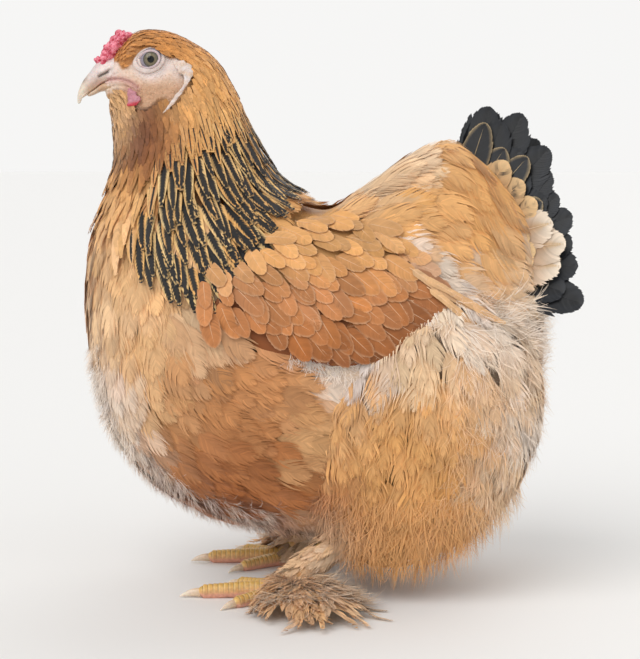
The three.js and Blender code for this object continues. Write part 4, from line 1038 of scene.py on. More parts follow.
def feathers(
    name, slot, line, up, length, spine, wide, shade, bake, low, high, rise=0.35, twist=0.05, lean=0.0,
    tuck=0.7, made=None
):
    """One piece of the coat: feathers on their lines, rising from low at the root to high and tucked down
    again at the tip. Barbs overlap like slats. Shade gives each barb's colour at its points, and bake
    each root's place on the flat map. Points near the floor are pressed up, so that none goes below it."""
    count, barbs, steps, _ = spine.shape
    tilt = 0.13 * np.sign(spine[:, :, -1, 0]) + coat_rng.uniform(-twist, twist, (count, barbs))
    local, faces = strips(spine, wide, tilt)
    flat = local.reshape(count, -1, 3).copy()
    share = np.clip(flat[..., 1] / length[:, None], 0, 1.05)
    low, high = (np.broadcast_to(size, (count,))[:, None] for size in (low, high))
    flat[..., 2] += low + (high - low) * share**rise - tuck * np.clip((share - 0.55) / 0.45, 0, 2) ** 2
    flat[..., 2] += np.broadcast_to(lean, (count,))[:, None] * flat[..., 0]
    points = lay(line, up, length, flat).reshape(-1, 3)
    level = points[:, 2]
    points[:, 2] = np.where(level < 1.5, 0.4 + 1.1 * np.exp(np.minimum(level - 1.5, 0) / 4), level)
    picks = np.minimum(np.repeat(np.arange(steps), 2)[:-1], steps - 1)
    tint = shade[:, :, picks].reshape(-1, 3)
    half = np.abs(flat[..., 0]).max(1, keepdims=True) + 1e-6
    patch = np.stack([flat[..., 0] / half * 0.0015, share * 0.003], -1)
    uv = (np.asarray(bake)[:, None] + patch).reshape(-1, 2)
    return make_piece(name, points, faces, made or feather, slot, uv, tint)


def vary(colour, spread):
    """Each feather's own shade: its colour, a little lighter or darker, and warmer or paler."""
    count = len(colour)
    bright = np.exp(coat_rng.normal(0, spread, (count, 1)))
    warm = coat_rng.normal(0, spread * 0.6, (count, 1)) * np.array([0.25, 0.0, -0.9])
    return colour * bright * (1 + warm)


def shades(colour, levels, spine, spread=0.04):
    """Barb colours: the feather's colour times a level at each of a barb's points, from the shaft to the
    edge, each of the spine's barbs a little different."""
    shade = colour[:, None, None] * np.array(levels)[:, None]
    return shade * np.exp(coat_rng.normal(0, spread, (*spine.shape[:2], 1, 1)))


# Body feathers
# Soft rounded contour feathers cover the breast, sides and back. They are longest over the saddle.

# The folded wing's axis, and how far its outline lies above and below it at even shares of its length
WING_FRONT, WING_REAR = np.array([-79.9, 200.5]), np.array([86.1, 197.2])
WING_UPPER, WING_LOWER = [0, 38, 51, 56, 49, 26, 0], [0, 24, 33, 37, 32.5, 16.5, 0]


def mottled(points, spread=6.0):
    """Feather colours taken a little beside their places, so that the patches run into one another, and
    made lighter or darker in clouds of 2 cm."""
    beside = points + np.random.default_rng(7).normal(0, spread, points.shape)
    return buff(beside) * (1 + 0.10 * ripple(points, 22, 33))[..., None]


def by_wing(x, z):
    """Share of the way along the folded wing's axis, height over the axis, and the outline's half height
    on that side of it."""
    share = (x - WING_FRONT[0]) / (WING_REAR[0] - WING_FRONT[0])
    over = z - (WING_FRONT[1] + share * (WING_REAR[1] - WING_FRONT[1]))
    return share, over, np.where(over > 0, follow(WING_UPPER, share), follow(WING_LOWER, share))


def wing_cover(points):
    """How far a place on the body's side lies inside the folded wing's outline, as a share of its half
    height there: 1 on its axis, 0 on its outline."""
    share, over, half = by_wing(points[..., 0], points[..., 2])
    inside = (share > 0) & (share < 1)
    return np.where(inside, 1 - np.abs(over) / np.maximum(half, 1e-3), -1)


def off_wing(u, v):
    """True outside the wing and on the strip of body just under its outline."""
    return wing_cover(body(u, v)) < 0.25


# Length of the contour feathers at each section of the body
COAT_LENGTH = [5, 5, 6, 8, 10, 14, 20, 26, 31, 35, 38, 40, 41, 42, 42, 42, 42, 43, 43, 42, 38]


def coat_piece(name, u_range, v_range, gap, pairs, side):
    """Contour feathers over part of the body, running down the stations and a little towards the ground."""
    u, v = scatter(body, u_range, v_range, gap, off_wing, 1.2)
    count = len(u)
    here = body(u, v)
    saddle = blend(-20, 40, here[:, 0]) * blend(205, 240, here[:, 2])
    length = follow(COAT_LENGTH, u / LAST_STATION) * (1 + 0.22 * saddle)
    length = length * coat_rng.uniform(0.88, 1.12, count)
    turn = -side * (0.12 + 0.25 * saddle) + coat_rng.normal(0, 0.10, count)
    back = length * 0.75 / pace(body, u, v)
    line, up = trace(body, np.maximum(u - back, -0.9), v, length, 5, turn)
    half = length * (0.27 - 0.02 * saddle) * coat_rng.uniform(0.9, 1.1, count)
    spine, wide = vane_barbs(
        count, pairs, 4, length, half, point=1.8, sweep=2.0, rag=0.2, loose=0.8, fill=1.15, firm=0.35
    )
    colour = vary(mottled(line[:, -2]), 0.07)
    shade = shades(colour, [0.94, 0.95, 1.02, 1.14], spine, 0.06)
    depth = follow(SKIN_DEPTH, u / LAST_STATION)
    swell = ripple(here, 60, 2) * 1.8 * np.clip((u - 7) / 4, 0, 1) + coat_rng.uniform(-0.5, 0.5, count)
    feathers(
        name, "buff_feather", line, up, length, spine, wide, shade, bake_place(u, v), -depth * 0.8 + swell,
        0.9 + swell, tuck=1.0
    )


# Angles round the body, from its under side, where front, side and back meet
FRONT, BACK = 1.35, 1.9
for name, side in SIDES.items():
    coat_piece(f"feathers_breast_{name}", (7.6, 14.2), sorted((side * FRONT, 0)), 7.4, 24, side)
    coat_piece(f"feathers_belly_{name}", (14.2, 18.5), sorted((side * FRONT, 0)), 8.2, 24, side)
    coat_piece(f"feathers_side_{name}", (9.5, 20.5), sorted((side * FRONT, side * BACK)), 8.0, 24, side)
    coat_piece(f"feathers_back_{name}", (10.5, 20.6), sorted((side * BACK, side * np.pi)), 8.2, 26, side)

# Thighs and fluff
# Long loose feathers hang round the thighs, white above and behind and buff below. Their barbs don't
# cling together, so that the fluff looks like hair.
for name, side in SIDES.items():
    surface = thighs[name]
    u, v = scatter(surface, (-0.2, 6.6), (-np.pi, np.pi), 7.6, lambda u, v: side * np.sin(v) > -0.35, 1.2)
    count = len(u)
    length = coat_rng.uniform(36, 52, count) * np.where(u > 5, 0.7, 1)
    back = length * 0.7 / pace(surface, u, v)
    behind = blend(-0.2, 0.8, -np.cos(v)) * blend(5, 3, u)
    turn = coat_rng.normal(0, 0.18, count) + side * 0.35 * behind
    line, up = trace(surface, np.maximum(u - back, -0.7), v, length, 5, turn)
    half = length * coat_rng.uniform(0.2, 0.27, count)
    spine, wide = vane_barbs(
        count, 21, 4, length, half, point=1.7, sweep=2.6, rag=0.25, loose=1.5, start=0.3, fill=0.9,
        cup=0.03, firm=0.2
    )
    colour = vary(mottled(line[:, -2], 9.0), 0.07)
    shade = shades(colour, [0.9, 0.97, 1.05, 1.12], spine, 0.06)
    feathers(
        f"feathers_thigh_{name}", "pale_fluff", line, up, length, spine, wide, shade,
        thigh_bake_place(side, u, v), -6.5, 1.5, 0.5, 0.25
    )

DOWN_WHITE = paint("#ECE1D6")


def tufts(name, surface, u_range, v_range, gap, keep, bake, long, white=0.6, lift=5.0, hang=0.0):
    """Tufts of long down standing out from a surface, whiter than the feathers round them."""
    u, v = scatter(surface, u_range, v_range, gap, keep)
    count = len(u)
    length = coat_rng.uniform(0.8, 1.2, count) * long
    line, up = trace(surface, u, v, length * 0.8, 4, coat_rng.normal(0, 0.3, count))
    drop = np.linspace(0, 0.8, 5)[None, :, None] * length[:, None, None] * np.array([0, 0, -1.0])
    line = line + (line[:, :1] + drop - line) * hang
    spine, wide = down_barbs(count, 18, 5, length, 0.5, 0.55, lift, 0.3)
    colour = buff(line[:, 2])
    colour = vary(colour + (DOWN_WHITE - colour) * white, 0.05)
    shade = shades(colour, [0.9, 0.95, 1, 1.04, 1.08], spine, 0.06)
    feathers(
        name, "pale_fluff", line, up, length, spine, wide, shade, bake(u, v), -4.0, 2.0, 0.7, 0.3, tuck=0
    )


def low_rear(u, v):
    """True low on the body's rear, under the tail."""
    place = body(u, v)
    return (place[:, 2] < 205) & (place[:, 0] > 70)


tufts("fluff_rear", body, (15.5, 20.95), (-2.2, 2.2), 8.0, low_rear, bake_place, 32, lift=11.0)
tufts("fluff_breast", body, (10.6, 14.8), (-0.55, 0.55), 4.6, None, bake_place, 24, 0.7, 7.0)
tufts("fluff_belly", body, (14.8, 17.8), (-0.6, 0.6), 5.6, None, bake_place, 20, 0.3, 7.0)
for name, side in SIDES.items():
    thigh, round_leg = thighs[name], (-np.pi, np.pi)
    bake = lambda u, v: thigh_bake_place(side, u, v)
    at_back = lambda u, v: (np.cos(v) < -0.25) & (side * np.sin(v) > -0.5) & (u < 5)
    tufts(f"fluff_thigh_{name}", thigh, (-0.6, 5.0), round_leg, 8.5, at_back, bake, 32, 0.15, 7.0)
    outer = lambda u, v: side * np.sin(v) > -0.6
    tufts(f"fluff_skirt_{name}", thigh, (3.4, 6.4), round_leg, 6.5, outer, bake, 36, 0.04, 5.0, 0.75)

# Hackle
# The neck's long lance-shaped feathers, black down the middle with a golden edge, hang over the shoulders
# as a cape. Those up the neck and in front are plain and small.
HACKLE_BLACK, HACKLE_GOLD, HACKLE_PALE = (paint(code) for code in ("#14100E", "#CF9148", "#DDBB80"))
# The cape's lower edge, as the body's section at even angles round to the back, and the angle it starts from
CAPE_EDGE = [8.95, 9.4, 10.6, 11.9, 12.5, 12.5, 12.3, 12.2]
CAPE_FROM = 0.6
# Where the black begins, as heights over places along the hen
STRIPE_X, STRIPE_Z = [-146, -137, -122, -95, -62, -40], [120, 245, 288, 318, 338, 350]


def under_edge(u, v):
    """True above the cape's lower edge."""
    off = np.abs(v)
    edge = follow(CAPE_EDGE, (off - CAPE_FROM) / (np.pi - CAPE_FROM))
    return (u < edge) & ((off > CAPE_FROM - 0.05) | (u < 8.4))


for name, side in SIDES.items():
    for part, span, gap, pairs in [("upper", (4.4, 7.2), 2.8, 10), ("cape", (6.9, 12.5), 4.7, 15)]:
        u, v = scatter(body, span, sorted((0, side * np.pi)), gap, under_edge, 3.2)
        bare = sum(inside_face(body(at, v)) for at in (np.maximum(u - 0.9, 0), u, u + 0.25))
        u, v = u[bare < 0.3], v[bare < 0.3]
        count = len(u)
        length = np.interp(u, [4.4, 6, 8, 10, 12], [15, 26, 42, 50, 52])
        length = length * coat_rng.uniform(0.85, 1.12, count)
        length = np.where(np.abs(v) < 0.75, length * 0.65, length)
        half = np.interp(u, [4.4, 7, 10, 12], [1.4, 2.5, 3.9, 4.2]) * coat_rng.uniform(0.85, 1.2, count)
        back = length * 0.8 / pace(body, u, v)
        line, up = trace(body, np.maximum(u - back, 1.2), v, length, 6, coat_rng.normal(0, 0.06, count))
        marks = [0, 0.2, 0.34, 0.5, 1]
        spine, wide = vane_barbs(
            count, pairs, marks, length, half, base=0.8, widest=0.55, point=1.5, sweep=2.4, rag=0.09,
            loose=0.3, start=0.3, firm=0.75, cup=0.08, fill=1.45
        )
        tips = line[:, -1]
        start = np.interp(tips[:, 0], STRIPE_X, STRIPE_Z)
        striped = blend(2, 50, start - tips[:, 2] + coat_rng.normal(0, 4, count))[:, None] ** 0.6
        colour = vary(buff(line[:, -2]), 0.10)
        gold = HACKLE_GOLD + (HACKLE_PALE - HACKLE_GOLD) * (0.25 + 0.75 * coat_rng.random((count, 1)))
        edge = vary(colour + (gold - colour) * striped, 0.06)
        black = vary(np.broadcast_to(HACKLE_BLACK, (count, 3)), 0.3)
        core = colour + (black - colour) * (striped > 0.85)
        rim = (striped * coat_rng.uniform(0.26, 0.38, (count, 1)))[..., None]
        edge_at = outline(spine[..., 1] / length[:, None, None], 0.8, 0.55, 1.5)
        across = np.abs(spine[..., 0]) / half[:, None, None] / np.maximum(edge_at, 0.1)
        over = blend(rim, rim + 0.12, across)[..., None]
        shade = core[:, None, None] + (edge - core)[:, None, None] * over
        shade = shade * np.exp(coat_rng.normal(0, 0.08, (count, 2 * pairs, 1, 1)))
        girth = 2 * (half[:, None, None] * rim) * np.array([0.4, 0.9, 1.0, 0.75, 0])
        spine, wide = with_shaft(spine, wide, length, [0.2, 0.5, 0.74, 0.88, 0.97], 0.3, girth)
        shade = np.concatenate([shade, np.broadcast_to(black[:, None, None], (count, 1, 5, 3))], 1)
        depth = follow(SKIN_DEPTH, u / LAST_STATION)
        high = np.interp(u, [4.4, 7, 9, 12], [0.8, 2.2, 3.6, 4.6]) + coat_rng.uniform(-0.25, 0.25, count)
        feathers(
            f"hackle_{part}_{name}", "buff_feather", line, up, length, spine, wide, shade, bake_place(u, v),
            -depth * 0.7, high, 0.5, 0.15
        )

# Head feathers
# Tiny hair-like feathers lie back over the crown and nape, and pale bristles dot the cheeks.


def off_face(u, v):
    """True on the feathered part of the head."""
    place = body(u, v)
    beak_root = (place[..., 0] < -149) & (place[..., 2] > 340)
    under_comb = (np.abs(place[..., 1]) < 5.5) & (place[..., 0] < -141) & (place[..., 2] > 354)
    limit = np.where(place[..., 2] < 344, 0.9, 0.35)
    chin = (place[..., 2] < 344.5) & (place[..., 0] < -141) & (place[..., 0] > -159)
    return (((inside_face(place) < limit) & ~beak_root) | chin) & ~under_comb


def bristled(u, v):
    """True on the bare cheek behind the beak."""
    place = body(u, v)
    return (inside_face(place) > 0.8) & (place[:, 2] < 356) & (place[:, 0] > -152)


u, v = scatter(body, (0.6, 6.2), (-np.pi, np.pi), 2.0, off_face, 1.3)
count = len(u)
length = np.interp(u, [0.6, 3, 6], [6, 10, 16]) * coat_rng.uniform(0.8, 1.2, count)
place = body(u, v)
length = length * np.where(place[:, 2] > 350, np.interp(place[:, 0], [-146, -132], [0.5, 1]), 1)
line, up = trace(body, u, v, length, 3, coat_rng.normal(0, 0.12, count))
tips = line[:, -1]
from_eye = np.hypot(tips[:, 0] - EYE_X, tips[:, 2] - EYE_Z)
clear = ((inside_face(tips) < 0.5) | (tips[:, 2] < 343)) & (from_eye > 9.0)
u, v, length, line, up = (rows[clear] for rows in (u, v, length, line, up))
count = len(u)
half = np.interp(u, [0.6, 6], [0.8, 1.7])
spine, wide = vane_barbs(
    count, 5, 3, length, half, base=0.7, point=1.3, sweep=2.8, rag=0.2, loose=0.15, start=0.15, firm=0.4,
    fill=0.9
)
shade = shades(vary(buff(line[:, 1]), 0.13), [0.92, 1.0, 1.12], spine, 0.08)
feathers(
    "feathers_head", "buff_feather", line, up, length, spine, wide, shade, bake_place(u, v), -0.4, 0.6, 0.6,
    0.1, 0, 0.3
)

u, v = scatter(body, (0.2, 5.0), (-np.pi, np.pi), 1.9, bristled)
count = len(u)
length = coat_rng.uniform(2.0, 3.8, count)
line, up = trace(skin_point, u, v, length, 3, coat_rng.normal(0, 0.3, count))
spine, wide = down_barbs(count, 3, 3, length, 0.35, 0.28, 0.5, 0.15)
shade = shades(vary(face_colour(line[:, 1]) * 1.02, 0.06), [0.95, 1, 1.06], spine)
feathers(
    "cheek_bristles", "pale_fluff", line, up, length, spine, wide, shade, bake_place(u, v), -0.1, 0.7, 1.0,
    0.2, 0, 0
)

# Wings
# Each folded wing shows rows of rounded coverts like roof tiles, with fine pale shafts and edges, over
# the long flight feathers that end in a point over the rump. White down shows along its lower edge.
# The tan is the wing's own colour. The brown and the deep brown are painted shade, laid over the wing's lower
# and rear part, on the flight feathers and on the arm under the coverts
WING_TAN, WING_BROWN_PAINTED_SHADE, WING_DEEP_PAINTED_SHADE, WING_SAND = (
    paint(code) for code in ("#BE7C48", "#A5622F", "#86481C", "#D9AC7C")
)
SHAFT_PALE, WING_DOWN = paint("#E6C4A0"), paint("#EFE0D2")
WING_MIDDLE = 199
FLIGHTS, DOWNS = 9, 110


def wing_surface(side):
    """The folded wing's face as a function of x and z in hundreds of millimetres: the body's side raised
    by 2.5 mm at the outline and 9 mm along the middle."""

    def surface(u, v, out=0.0):
        x, z = np.broadcast_arrays(100 * np.asarray(u, float), 100 * np.asarray(v, float))
        share, over, half = by_wing(x, z)
        raised = np.sqrt(np.clip(1 - (over / np.maximum(half, 6)) ** 2, 0, 1))
        raised = raised * np.sin(np.pi * np.clip(share, 0.02, 0.98)) ** 0.6
        return on_side(x, z, side, 2.5 + 6.5 * raised + out)

    return surface


def wing_piece(
    name, surface, x, z, length, half, slant, low, high, tone, pairs=22, point=2.1, bend=0.1, lean=0.0
):
    """Firm vanes on the wing with a fine pale shaft: deep near the shaft, pale at the edge."""
    count = len(x)
    line, up = trace(surface, x / 100, z / 100, length, 6, -np.radians(slant), bend)
    spine, wide = vane_barbs(
        count, pairs, 5, length, half, base=0.8, widest=0.6, point=point, sweep=1.1, rag=0.06, loose=0.2,
        start=0.08, cup=0.07, firm=0.8
    )
    girth = [0.55, 0.5, 0.4, 0.35, 0]
    spine, wide = with_shaft(spine, wide, length, np.linspace(0.02, 0.9, 5), 0.25, girth)
    pale = tone + (SHAFT_PALE - tone) * coat_rng.uniform(0.15, 0.5, (count, 1))
    shade = np.stack([tone * 1.04, tone * 0.94, tone * 0.95, tone * 0.4 + pale * 0.6, pale], 1)[:, None]
    shade = shade * np.exp(coat_rng.normal(0, 0.045, (count, 2 * pairs, 1, 1)))
    shaft = tone[:, None, None] * 0.5 + SHAFT_PALE * 0.5
    shade = np.concatenate([shade, np.broadcast_to(shaft, (count, 1, 5, 3))], 1)
    station, angle = find_on_body(x, z)
    side = np.sign(line[:, 0, 1])
    return feathers(
        name, "wing_feather", line, up, length, spine, wide, shade, bake_place(station, side * angle), low,
        high, 0.45, 0.03, lean, 0.5
    )


for name, side in SIDES.items():
    surface = wing_surface(side)
    rows, columns = 60, 36
    edge_x = np.linspace(0.01, 0.99, rows)
    edge_x, edge_t = np.meshgrid(edge_x, np.linspace(-0.99, 0.99, columns), indexing="ij")
    half = np.where(edge_t > 0, follow(WING_UPPER, edge_x), follow(WING_LOWER, edge_x))
    x = WING_FRONT[0] + edge_x * (WING_REAR[0] - WING_FRONT[0])
    z = WING_FRONT[1] - 3 * edge_x + edge_t * half
    base = surface(x / 100, z / 100, -2.5).reshape(-1, 3)
    faces = [grid_faces(rows, columns, False)[:, :: -side if side > 0 else 1]]
    station, angle = find_on_body(base[:, 0], base[:, 2])
    bake = bake_place(station, side * angle)
    # The arm under the coverts: painted shade, deep brown below the wing's middle, turning to the body's buff
    # above it
    tint = WING_DEEP_PAINTED_SHADE + (buff(base) * 0.8 - WING_DEEP_PAINTED_SHADE) * blend(205, 225, base[:, 2:])
    make_piece(f"wing_{name}_arm", base, faces, feather, "wing_feather", bake, tint)

    def on_wing(u, v):
        """True where a covert's root may lie, so that its tip stays near the wing's outline."""
        share = by_wing(100 * u, 100 * v)[0]
        over = 100 * v - WING_MIDDLE
        upper, lower = (follow(edge, np.clip(share, 0.1, 1)) for edge in (WING_UPPER, WING_LOWER))
        below_top = over < upper + np.interp(share, [0.45, 0.75], [7, -1])
        above_foot = over > np.interp(share, [0, 0.3, 0.6], [24, 19, 15]) - lower
        return np.where(over > 0, below_top, above_foot) & (share < 0.86)

    flat_wing = lambda u, v, out=0.0: np.stack([100 * u + 0 * out, 0 * u + out, 100 * v + 0 * out], -1)
    x, z = scatter(flat_wing, (-0.86, 0.80), (1.6, 2.66), 7.2, on_wing)
    x, z = 100 * x, 100 * z
    share = by_wing(x, z)[0]
    count = len(x)
    slant = np.interp(share, [0, 0.3, 0.6, 0.8, 1], [66, 52, 38, 38, 36])
    slant = slant - (z - WING_MIDDLE) * np.interp(share, [0, 0.5, 0.8], [0.1, 0.2, -0.1])
    length = (25 + 4 * share) * coat_rng.uniform(0.82, 1.16, count)
    girth = 0.215 + 0.06 * blend(0.5, 0.25, share) * blend(205, 190, z)
    # Painted shade: the tan darkens to brown towards the wing's lower edge, and to deep brown lower still and
    # over its rear; near the top it turns to the body's buff
    tone = WING_TAN + (WING_BROWN_PAINTED_SHADE - WING_TAN) * (blend(212, 182, z))[:, None]
    tone = tone + (WING_DEEP_PAINTED_SHADE - tone) * (blend(186, 166, z) * 0.8)[:, None]
    tone = tone + (WING_DEEP_PAINTED_SHADE - tone) * (blend(0.5, 0.85, share) * blend(232, 200, z) * 0.95)[:, None]
    tone = tone + (buff(np.stack([x, 0 * x, z], -1)) - tone) * (blend(216, 242, z) * 0.9)[:, None]
    high = 2.2 + 1.2 * (1 - share) + coat_rng.uniform(-0.35, 0.35, count)
    slant = slant + coat_rng.normal(0, 11, count)
    coverts = wing_piece(
        f"wing_{name}_coverts", surface, x, z, length, length * girth, slant, -2.6, high, vary(tone, 0.13)
    )
    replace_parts(coverts, f"wing_{name}")

    # The flight feathers, each set further back and higher than the one below it
    order = np.arange(FLIGHTS)
    x, z = -12 + 5.0 * order, np.linspace(166, 214, FLIGHTS)
    length, slant = np.linspace(66, 60, FLIGHTS), np.linspace(-16, 14, FLIGHTS)
    # Painted shade: the flight feathers take the brown shade colour
    tone = vary(np.broadcast_to(WING_BROWN_PAINTED_SHADE, (FLIGHTS, 3)), 0.05)
    wing_piece(
        f"wing_{name}_flights", surface, x, z, length, np.full(FLIGHTS, 8.0), slant, -4.0,
        -0.4 + 0.25 * order, tone, 34, 1.8, 0.0, 0.03
    )

    # Three narrow sandy feathers of the back hang over the wing's rear
    x, z = np.array([48.0, 55, 59]), np.array([224.0, 219, 212])
    length, half = np.array([58.0, 66, 54]), np.array([2.6, 2.2, 2.0])
    slant, high = np.array([38.0, 33, 40]), np.array([3.6, 5.0, 5.6])
    tone = vary(np.broadcast_to(WING_SAND, (3, 3)), 0.05)
    wing_piece(f"wing_{name}_long", surface, x, z, length, half, slant, 2.0, high, tone, 30, 1.5)

    # Down along the lower edge
    share = np.linspace(0.3, 0.9, DOWNS) + coat_rng.normal(0, 0.01, DOWNS)
    x = WING_FRONT[0] + share * (WING_REAR[0] - WING_FRONT[0])
    z = WING_FRONT[1] - 1 - 3 * share - follow(WING_LOWER, share) + coat_rng.uniform(0, 6, DOWNS)
    length = coat_rng.uniform(13, 24, DOWNS) * (0.6 + 0.4 * blend(0.3, 0.6, share))
    slant = coat_rng.normal(70, 22, DOWNS) - 30 * share
    line, up = trace(surface, x / 100, z / 100, length, 4, -np.radians(slant))
    spine, wide = down_barbs(DOWNS, 16, 4, length, 0.6, 0.42, 3.5, 0.35)
    station, angle = find_on_body(x, z)
    bake = bake_place(station, side * angle)
    shade = shades(vary(np.broadcast_to(WING_DOWN, (DOWNS, 3)), 0.05), [0.85, 0.95, 1, 1.05], spine)
    feathers(
        f"wing_{name}_down", "pale_fluff", line, up, length, spine, wide, shade, bake, -7.0, -1.0, 0.6, 0.3
    )

# Tail
# A fan of broad black feathers on each side of the rump. Shorter black ones with pale edges lie over
# them, and rounded cream ones with a few black specks over those.

# The fan springs from one place and opens between two angles up from level, in degrees. Its lengths are
# given at even angles from top to bottom
FAN_X, FAN_Z, FAN_TOP, FAN_BOTTOM = 73.8, 231, 71, -16.5
FAN_LENGTHS = [110.8, 112.4, 101.2, 93, 92.3, 93.3, 96, 107.2]
# The second colour is a blue-black painted in as the black feathers' sheen; the specks on the cream feathers
# take it too
TAIL_BLACK, TAIL_PAINTED_SHEEN_AND_SPECK, TAIL_LACE, TAIL_CREAM, TAIL_WHITE = (
    paint(code) for code in ("#0A0B0E", "#12151B", "#D9BE90", "#DDB988", "#E4D3BE")
)
tail_barbs = material(
    "dyed_black_feather_barbs", Roughness=0.48, Sheen_Weight=0.06, Sheen_Roughness=0.3,
    Specular_IOR_Level=0.35, Coat_Weight=0.1, Coat_Roughness=0.3
)
tinted(tail_barbs, 240.0, 3.0, 0.8, 1.25)
TAIL_PAIRS, TAIL_ROOT, TAIL_BEND = 38, 16.0, 0.1


def fan_surface(side):
    """One side of the tail's fan as a function of the reach in hundreds of millimetres and the angle up
    from level: it spreads outwards with its reach, and more towards its lower edge."""

    def surface(u, v, out=0.0):
        reach, angle = np.broadcast_arrays(100 * np.asarray(u, float), np.asarray(v, float))
        share = (FAN_TOP - np.degrees(angle)) / (FAN_TOP - FAN_BOTTOM)
        y = side * (4 + share * (14 + 0.32 * reach) + out)
        return np.stack([FAN_X + reach * np.cos(angle), y, FAN_Z + reach * np.sin(angle)], -1)

    return surface


def tail_tier(name, slot, side, share, reach, half, high, colours, rag, specks):
    """Some of the fan's vanes, at shares of the way down it and each out to its own share of the fan's
    reach, in the colours given from the shaft to the edge. Specks darkens random groups of barbs near
    the shaft. The pale tiers are darker towards their roots."""
    made = tail_barbs if slot == "tail_feather" else None
    count = len(share)
    angle = np.radians(FAN_TOP + (FAN_BOTTOM - FAN_TOP) * share) + coat_rng.normal(0, 0.02, count)
    length = follow(FAN_LENGTHS, share) * reach * coat_rng.uniform(0.94, 1.03, count) - TAIL_ROOT
    curve = TAIL_BEND * (1 - 0.8 * share)
    root = np.full(count, TAIL_ROOT / 100)
    line, up = trace(fan_surface(side), root, angle, length, 8, -0.35 * curve, curve)
    spine, wide = vane_barbs(
        count, TAIL_PAIRS, 5, length, np.full(count, half), base=0.4, widest=0.72, sweep=0.9, rag=rag,
        loose=0.15, start=0.1, cup=0.035, fill=1.45, firm=0.85
    )
    girth = [1.2, 1.1, 0.9, 0.6, 0]
    spine, wide = with_shaft(spine, wide, length, np.linspace(0.02, 0.95, 5), 0.35, girth)
    shade = np.exp(coat_rng.normal(0, 0.05, (count, 2 * TAIL_PAIRS + 1, 1, 1)))
    shade = np.array(colours)[None, None] * shade
    shade = shade * np.exp(coat_rng.normal(0, 0.06, (count, 1, 1, 1)))
    place = spine[..., :2] + angle[:, None, None, None] * 60
    dark = ripple(np.concatenate([place, 0 * place[..., :1]], -1), 5.5, 12)
    along = spine[..., 1] / length[:, None, None]
    near_shaft = bell(spine[..., 0] / half, 0.6) * blend(0.55, 0.7, along) * blend(1.0, 0.86, along)
    speck = specks * blend(0.3, 0.6, dark) * near_shaft
    shade = shade + (TAIL_PAINTED_SHEEN_AND_SPECK - shade) * speck[..., None]
    if made is None:
        shade = shade * (1 - np.array([0.38, 0.52, 0.62]) * blend(0.98, 0.7, along)[..., None])
    station, angle_on = find_on_body(line[:, 1, 0], line[:, 1, 2])
    bake = bake_place(station, side * angle_on)
    return feathers(
        name, slot, line, up, length, spine, wide, shade, bake, high - 1.0, high, 0.8, 0.05, 0.10 * side,
        0.0, made
    )


# Colours from the shaft to the edge: the black vanes turn to the painted sheen towards their edges, brightest
# at the very edge
BLACK5 = [TAIL_BLACK, TAIL_BLACK, TAIL_PAINTED_SHEEN_AND_SPECK, TAIL_PAINTED_SHEEN_AND_SPECK, TAIL_PAINTED_SHEEN_AND_SPECK * 1.5]
LACED5 = [TAIL_BLACK, TAIL_BLACK, TAIL_PAINTED_SHEEN_AND_SPECK, TAIL_LACE * 0.3, TAIL_LACE]
CREAM5 = [TAIL_CREAM * 0.85, TAIL_CREAM * 0.92, TAIL_CREAM, TAIL_CREAM * 1.02, TAIL_CREAM * 1.08]
WHITE5 = [TAIL_CREAM * 0.8, TAIL_WHITE * 0.85, TAIL_WHITE, TAIL_WHITE * 1.03, TAIL_WHITE * 1.08]
CREAM_REACH = [0.5, 0.6, 0.62, 0.6, 0.62, 0.66, 0.68, 0.7, 0.7, 0.66]
# Each tier: name, slot, shares of the way down the fan, shares of its reach, half width, height, colours,
# raggedness and specks
TIERS = [
    ("main", "tail_feather", np.linspace(0, 1, 9), np.ones(9), 14.5, 0.6, BLACK5, 0.09, 0.0),
    ("short", "tail_feather", np.linspace(0.07, 0.97, 8), np.full(8, 0.88), 13.5, 2.6, BLACK5, 0.09, 0.0),
    ("laced", "tail_feather", [0.0, 0.14, 0.27, 0.5], [0.9, 0.8, 0.86, 0.86], 10.5, 4.2, LACED5, 0.04, 0.0),
    ("speckled", "pale_fluff", [0.22, 0.36, 0.49], [0.74, 0.83, 0.88], 11.0, 6.0, CREAM5, 0.05, 1.0),
    ("white", "pale_fluff", [0.63, 0.75, 0.87], [0.9, 0.92, 0.86], 15.0, 7.6, WHITE5, 0.12, 0.0),
    ("cream", "pale_fluff", [0.04, 0.13, 0.2, 0.3, 0.4, 0.5, 0.6, 0.7, 0.8, 0.9], CREAM_REACH, 11.5, 9.0,
     CREAM5, 0.14, 0.0),
]
for name, side in SIDES.items():
    for tier, slot, share, reach, *rest in TIERS:
        piece = tail_tier(f"tail_{name}_{tier}", slot, side, np.array(share), np.array(reach), *rest)
        if name == "left" and tier == "main":
            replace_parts(piece, "tail")

# Legs and feet
# Scaled legs and toes cast in yellow resin: a row of overlapping plates down the front and over each toe,
# soft pads below. Feathers cover the outer side of the leg and fan from the outer toe.
HOCK, ANKLE = np.array([33.1, 53, 62]), np.array([-28.9, 51, 12])
SHANK_RADIUS, TOE_RADIUS = 8.2, 6.2
SHANK_FRONT = np.array([-1.0, 0, -0.3])
